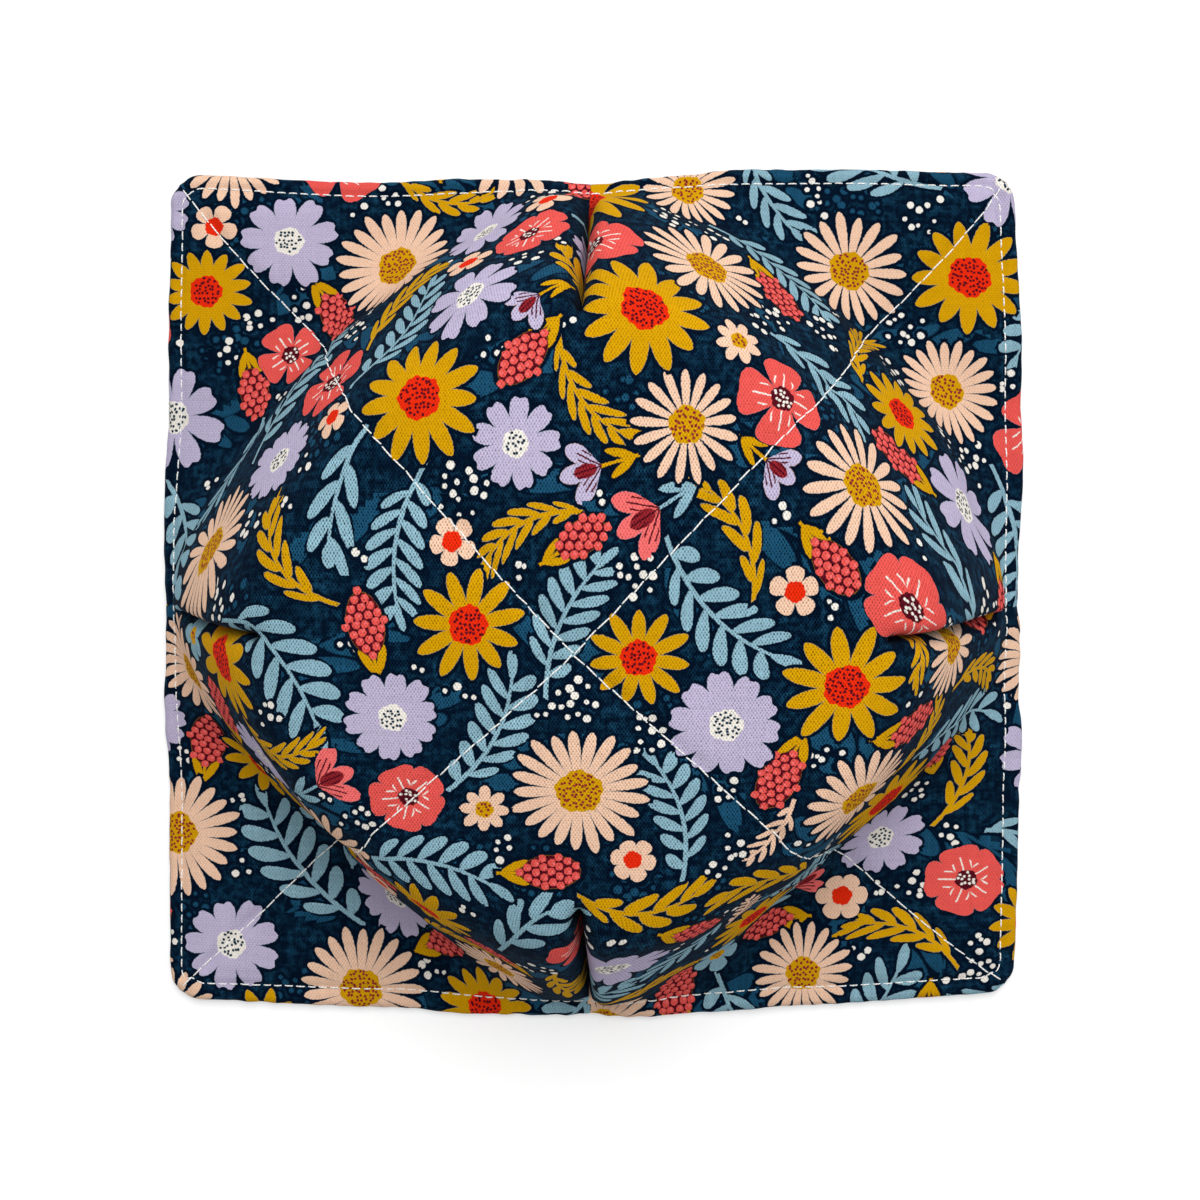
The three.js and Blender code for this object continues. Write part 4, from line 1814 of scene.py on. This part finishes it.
@dataclass
class Stitching:
    """Running stitches of one seam: short rounded lengths of thread that dip into the cloth.

    Each stitch has rings at its stations, with their own girths and heights over the cloth.
    """

    shell: CozyShell
    radius: float = 0.17
    sides: int = 6
    stations: tuple = (-0.5, -0.42, -0.2, 0.2, 0.42, 0.5)
    girths: tuple = (0.5, 0.9, 1.0, 1.0, 0.9, 0.5)
    heights: tuple = (-0.16, 0.0, 0.12, 0.12, 0.0, -0.16)
    normal_reach: float = 0.8
    unevenness: float = 0.06
    plies: float = 2.0

    def stitches(self, points: Array, outwards: Array) -> tuple[Array, list, Array]:
        """The thread's surface: rings around each stitch's line, thinner and deeper at its ends.

        Args:
            points: Points of each stitch's line on the cloth, by stitch and station.
            outwards: The cloth's normal at each stitch.

        Returns:
            Points, faces and the ply map's places of their corners.
        """
        across = np.cross(outwards, unit(points[:, -1] - points[:, 0]))[:, None, None]
        step = np.arange(self.sides)
        turn = (step / self.sides * TURN)[:, None]
        centre = points + outwards[:, None] * np.array(self.heights)[:, None]
        ring = across * np.cos(turn) + outwards[:, None, None] * np.sin(turn)
        surface = centre[:, :, None] + ring * (np.array(self.girths) * self.radius)[:, None, None]
        count, stations = points.shape[:2]
        table = np.arange(count * stations * self.sides).reshape(count, stations, self.sides)
        after = np.roll(table, -1, axis=2)
        tube = np.stack([table[:, :-1], table[:, 1:], after[:, 1:], after[:, :-1]], axis=-1).reshape(-1, 4)
        caps = np.concatenate([table[:, 0], table[:, -1, ::-1]])
        length = np.linalg.norm(points[:, -1] - points[:, 0], axis=1)[:, None, None]
        along = np.array(self.stations)[:, None] * length + np.zeros(self.sides)
        around = step / self.sides * self.plies + np.zeros((count, stations, 1))
        place = np.stack([along, around], axis=-1).reshape(-1, 2)
        faces = tube.tolist() + caps.tolist()
        return surface.reshape(-1, 3), faces, place[np.concatenate([tube.ravel(), caps.ravel()])]

    def seam(self, path: Array, pitch: float, gap: float, wander: float, seed: int) -> tuple[Array, Array]:
        """Stitch lines along a path over the closed square.

        The path is measured on the cloth, stitches are laid along it end to end with small gaps, and
        each strays a little sideways.

        Args:
            path: Places on the closed square, close together.
            pitch: Length of a stitch and its gap.
            gap: Length of a gap.
            wander: How far a stitch's ends stray sideways.
            seed: Seed of the unevenness.

        Returns:
            Points by stitch and station, and the cloth's normal at each stitch.
        """
        random = np.random.default_rng(seed)
        paces = np.linalg.norm(np.diff(self.shell.surface(path), axis=0), axis=1)
        measured = np.concatenate([[0.0], np.cumsum(paces)])
        count = int(measured[-1] / pitch)
        marks = np.arange(count + 1) + random.uniform(-self.unevenness, self.unevenness, count + 1)
        marks = np.clip(marks * measured[-1] / count, 0.0, measured[-1])[:, None]
        part = np.array(self.stations) + 0.5
        at = marks[:-1] + gap / 2.0 + (marks[1:] - marks[:-1] - gap) * part
        heading = unit(np.gradient(path, axis=0))
        place, side = (
            np.stack([np.interp(at, measured, values) for values in pair], axis=-1)
            for pair in (path.T, (heading[:, 1], -heading[:, 0]))
        )
        stray = random.uniform(-wander, wander, (count, 2))
        skew = stray[:, :1] + (stray[:, 1:] - stray[:, :1]) * part
        place = place + side * skew[..., None]
        middle = place.mean(axis=1)
        east, north = np.eye(2) * self.normal_reach
        along_x = self.shell.surface(middle + east) - self.shell.surface(middle - east)
        along_y = self.shell.surface(middle + north) - self.shell.surface(middle - north)
        return self.shell.surface(place), unit(np.cross(along_x, along_y))

    def build(self, name: str, seams: list, material: Material) -> Piece:
        """Joins the stitches of several seams into one object.

        Args:
            name: The object's name.
            seams: Points and normals of each seam.
            material: The thread.

        Returns:
            The object.
        """
        surface, faces, places = self.stitches(*(np.concatenate(parts) for parts in zip(*seams)))
        made = new_object(name, surface, faces)
        set_map(made.data, "ply", places)
        made.data.materials.append(material)
        return made

    def quilting(self, material: Material) -> Piece:
        """The two crossing lines of quilting, from corner to corner.

        Args:
            material: The thread.

        Returns:
            The object.
        """
        share = np.linspace(0.0, 1.0, 400)
        paths = [self.shell.form.quilting_place(arm, share) for arm in range(4)]
        sizes = {"pitch": 3.45, "gap": 0.15, "wander": 0.22}
        seams = [self.seam(path, **sizes, seed=70 + arm) for arm, path in enumerate(paths)]
        return self.build("quilting_stitches", seams, material)

    def topstitching(self, material: Material) -> Piece:
        """The row of stitches around the rim.

        Args:
            material: The thread.

        Returns:
            The object.
        """
        east, north, west, south = self.shell.form.stitch_reach
        corners = np.array([(-west, -south), (east, -south), (east, north), (-west, north), (-west, -south)])
        sides = [np.linspace(a, b, 500, endpoint=False) for a, b in zip(corners, corners[1:])]
        path = np.concatenate([*sides, corners[:1]])
        seam = self.seam(path, pitch=2.65, gap=0.6, wander=0.06, seed=90)
        return self.build("rim_topstitching", [seam], material)


@dataclass(frozen=True)
class Studio:
    """The pale floor, the soft light and the camera above the cozy. Lengths in metres."""

    distance: float = 0.44
    tilt_x: float = math.radians(2.0)
    tilt_y: float = math.radians(3.6)
    target: tuple = (0.0, 0.0, 0.005)
    sensor: float = 36.0
    lens: float = 57.024
    shift: tuple = (0.0092, 0.0009)
    floor_size: float = 3.0
    paper: tuple = (0.6, 0.6, 0.6, 1.0)
    glow: float = 0.75
    world_strength: float = 0.35
    light_aim: tuple = (0.0, 0.0, 0.03)

    def camera(self) -> None:
        """The camera, looking almost straight down with +Y up in the view."""
        data = bpy.data.cameras.new("camera")
        data.sensor_width = self.sensor
        data.lens = self.lens
        data.shift_x, data.shift_y = self.shift
        made = linked("camera", data)
        back = Vector((math.tan(self.tilt_x), math.tan(self.tilt_y), 1.0)).normalized()
        right = Vector((0.0, 1.0, 0.0)).cross(back).normalized()
        turned = Matrix((right, back.cross(right), back)).transposed().to_4x4()
        made.matrix_world = Matrix.Translation(Vector(self.target) + back * self.distance) @ turned
        bpy.context.scene.camera = made

    def floor(self) -> Piece:
        """The pale surface that the rim rests on.

        Returns:
            The floor's object.
        """
        half = self.floor_size / MM / 2.0
        corners = np.array([(-half, -half, 0), (half, -half, 0), (half, half, 0), (-half, half, 0)], float)
        made = new_object("floor", corners, [(0, 1, 2, 3)], smooth=False)
        material, _, shader = new_material("pale_floor")
        inputs = {"Base Color": self.paper, "Roughness": 0.9, "Emission Color": self.paper}
        for name, value in {**inputs, "Emission Strength": self.glow}.items():
            feed(shader.inputs[name], value)
        made.data.materials.append(material)
        return made

    def area_light(self, name: str, place: tuple, size: float, power: float) -> None:
        """One square area light aimed at the cozy.

        Args:
            name: The light's name.
            place: Where it stands.
            size: Its side.
            power: Its power, in watts.
        """
        data = bpy.data.lights.new(name, "AREA")
        data.energy = power
        data.size = size
        made = linked(name, data)
        made.location = place
        aim = Vector(self.light_aim) - Vector(place)
        made.rotation_euler = aim.to_track_quat("-Z", "Y").to_euler()

    def lights(self) -> None:
        """A large key light above the far side, a weak one from the right, and an even pale world."""
        self.area_light("key_light", place=(0.08, 0.6, 0.98), size=0.7, power=12.2)
        self.area_light("fill_light", place=(0.8, -0.2, 0.7), size=0.9, power=1.6)
        world = bpy.data.worlds.new("studio")
        world.use_nodes = True
        back = world.node_tree.nodes["Background"]
        feed(back.inputs["Color"], WHITE)
        feed(back.inputs["Strength"], self.world_strength)
        bpy.context.scene.world = world
        bpy.context.scene.view_settings.view_transform = "Standard"
        bpy.context.scene.view_settings.look = "None"


def packed_print() -> dict[Layer, PrintLayout]:
    """Packs the print: large flowers and leaves first, then what fills the gaps, and the ground's leaves.

    Returns:
        The layout of the coloured motifs, and the tone-on-tone one of the ground.
    """
    layout = {Layer.OVER: PrintLayout(seed=11), Layer.GROUND: PrintLayout(seed=47)}
    for sorts in (LARGE, MIDDLING, SMALL):
        layout[Layer.OVER].filled(sorts)
    layout[Layer.GROUND].filled((DEEP_LEAVES, DEEP_SEEDS))
    return layout


def main() -> None:
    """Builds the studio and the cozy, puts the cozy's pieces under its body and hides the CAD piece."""
    logging.basicConfig(level=logging.INFO, format="%(message)s")
    studio = Studio()
    studio.camera()
    studio.lights()
    studio.floor()

    layout = packed_print()
    weave = weave_group()
    materials = PrintedCotton().material(PrintNodes(), weave), LiningCotton().material(weave)
    thread = SewingThread().material()

    shell = CozyShell(ClothForm())
    cloth = shell.build(layout, materials)
    sewing = Stitching(shell)
    stitches = [sewing.quilting(thread), sewing.topstitching(thread)]
    for piece in (cloth, *stitches):
        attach(piece, BODY)
        log.info("%s: %d points, %d faces", piece.name, len(piece.data.vertices), len(piece.data.polygons))
    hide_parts(COZY_NODE)

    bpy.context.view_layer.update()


if __name__ == "__main__":
    main()
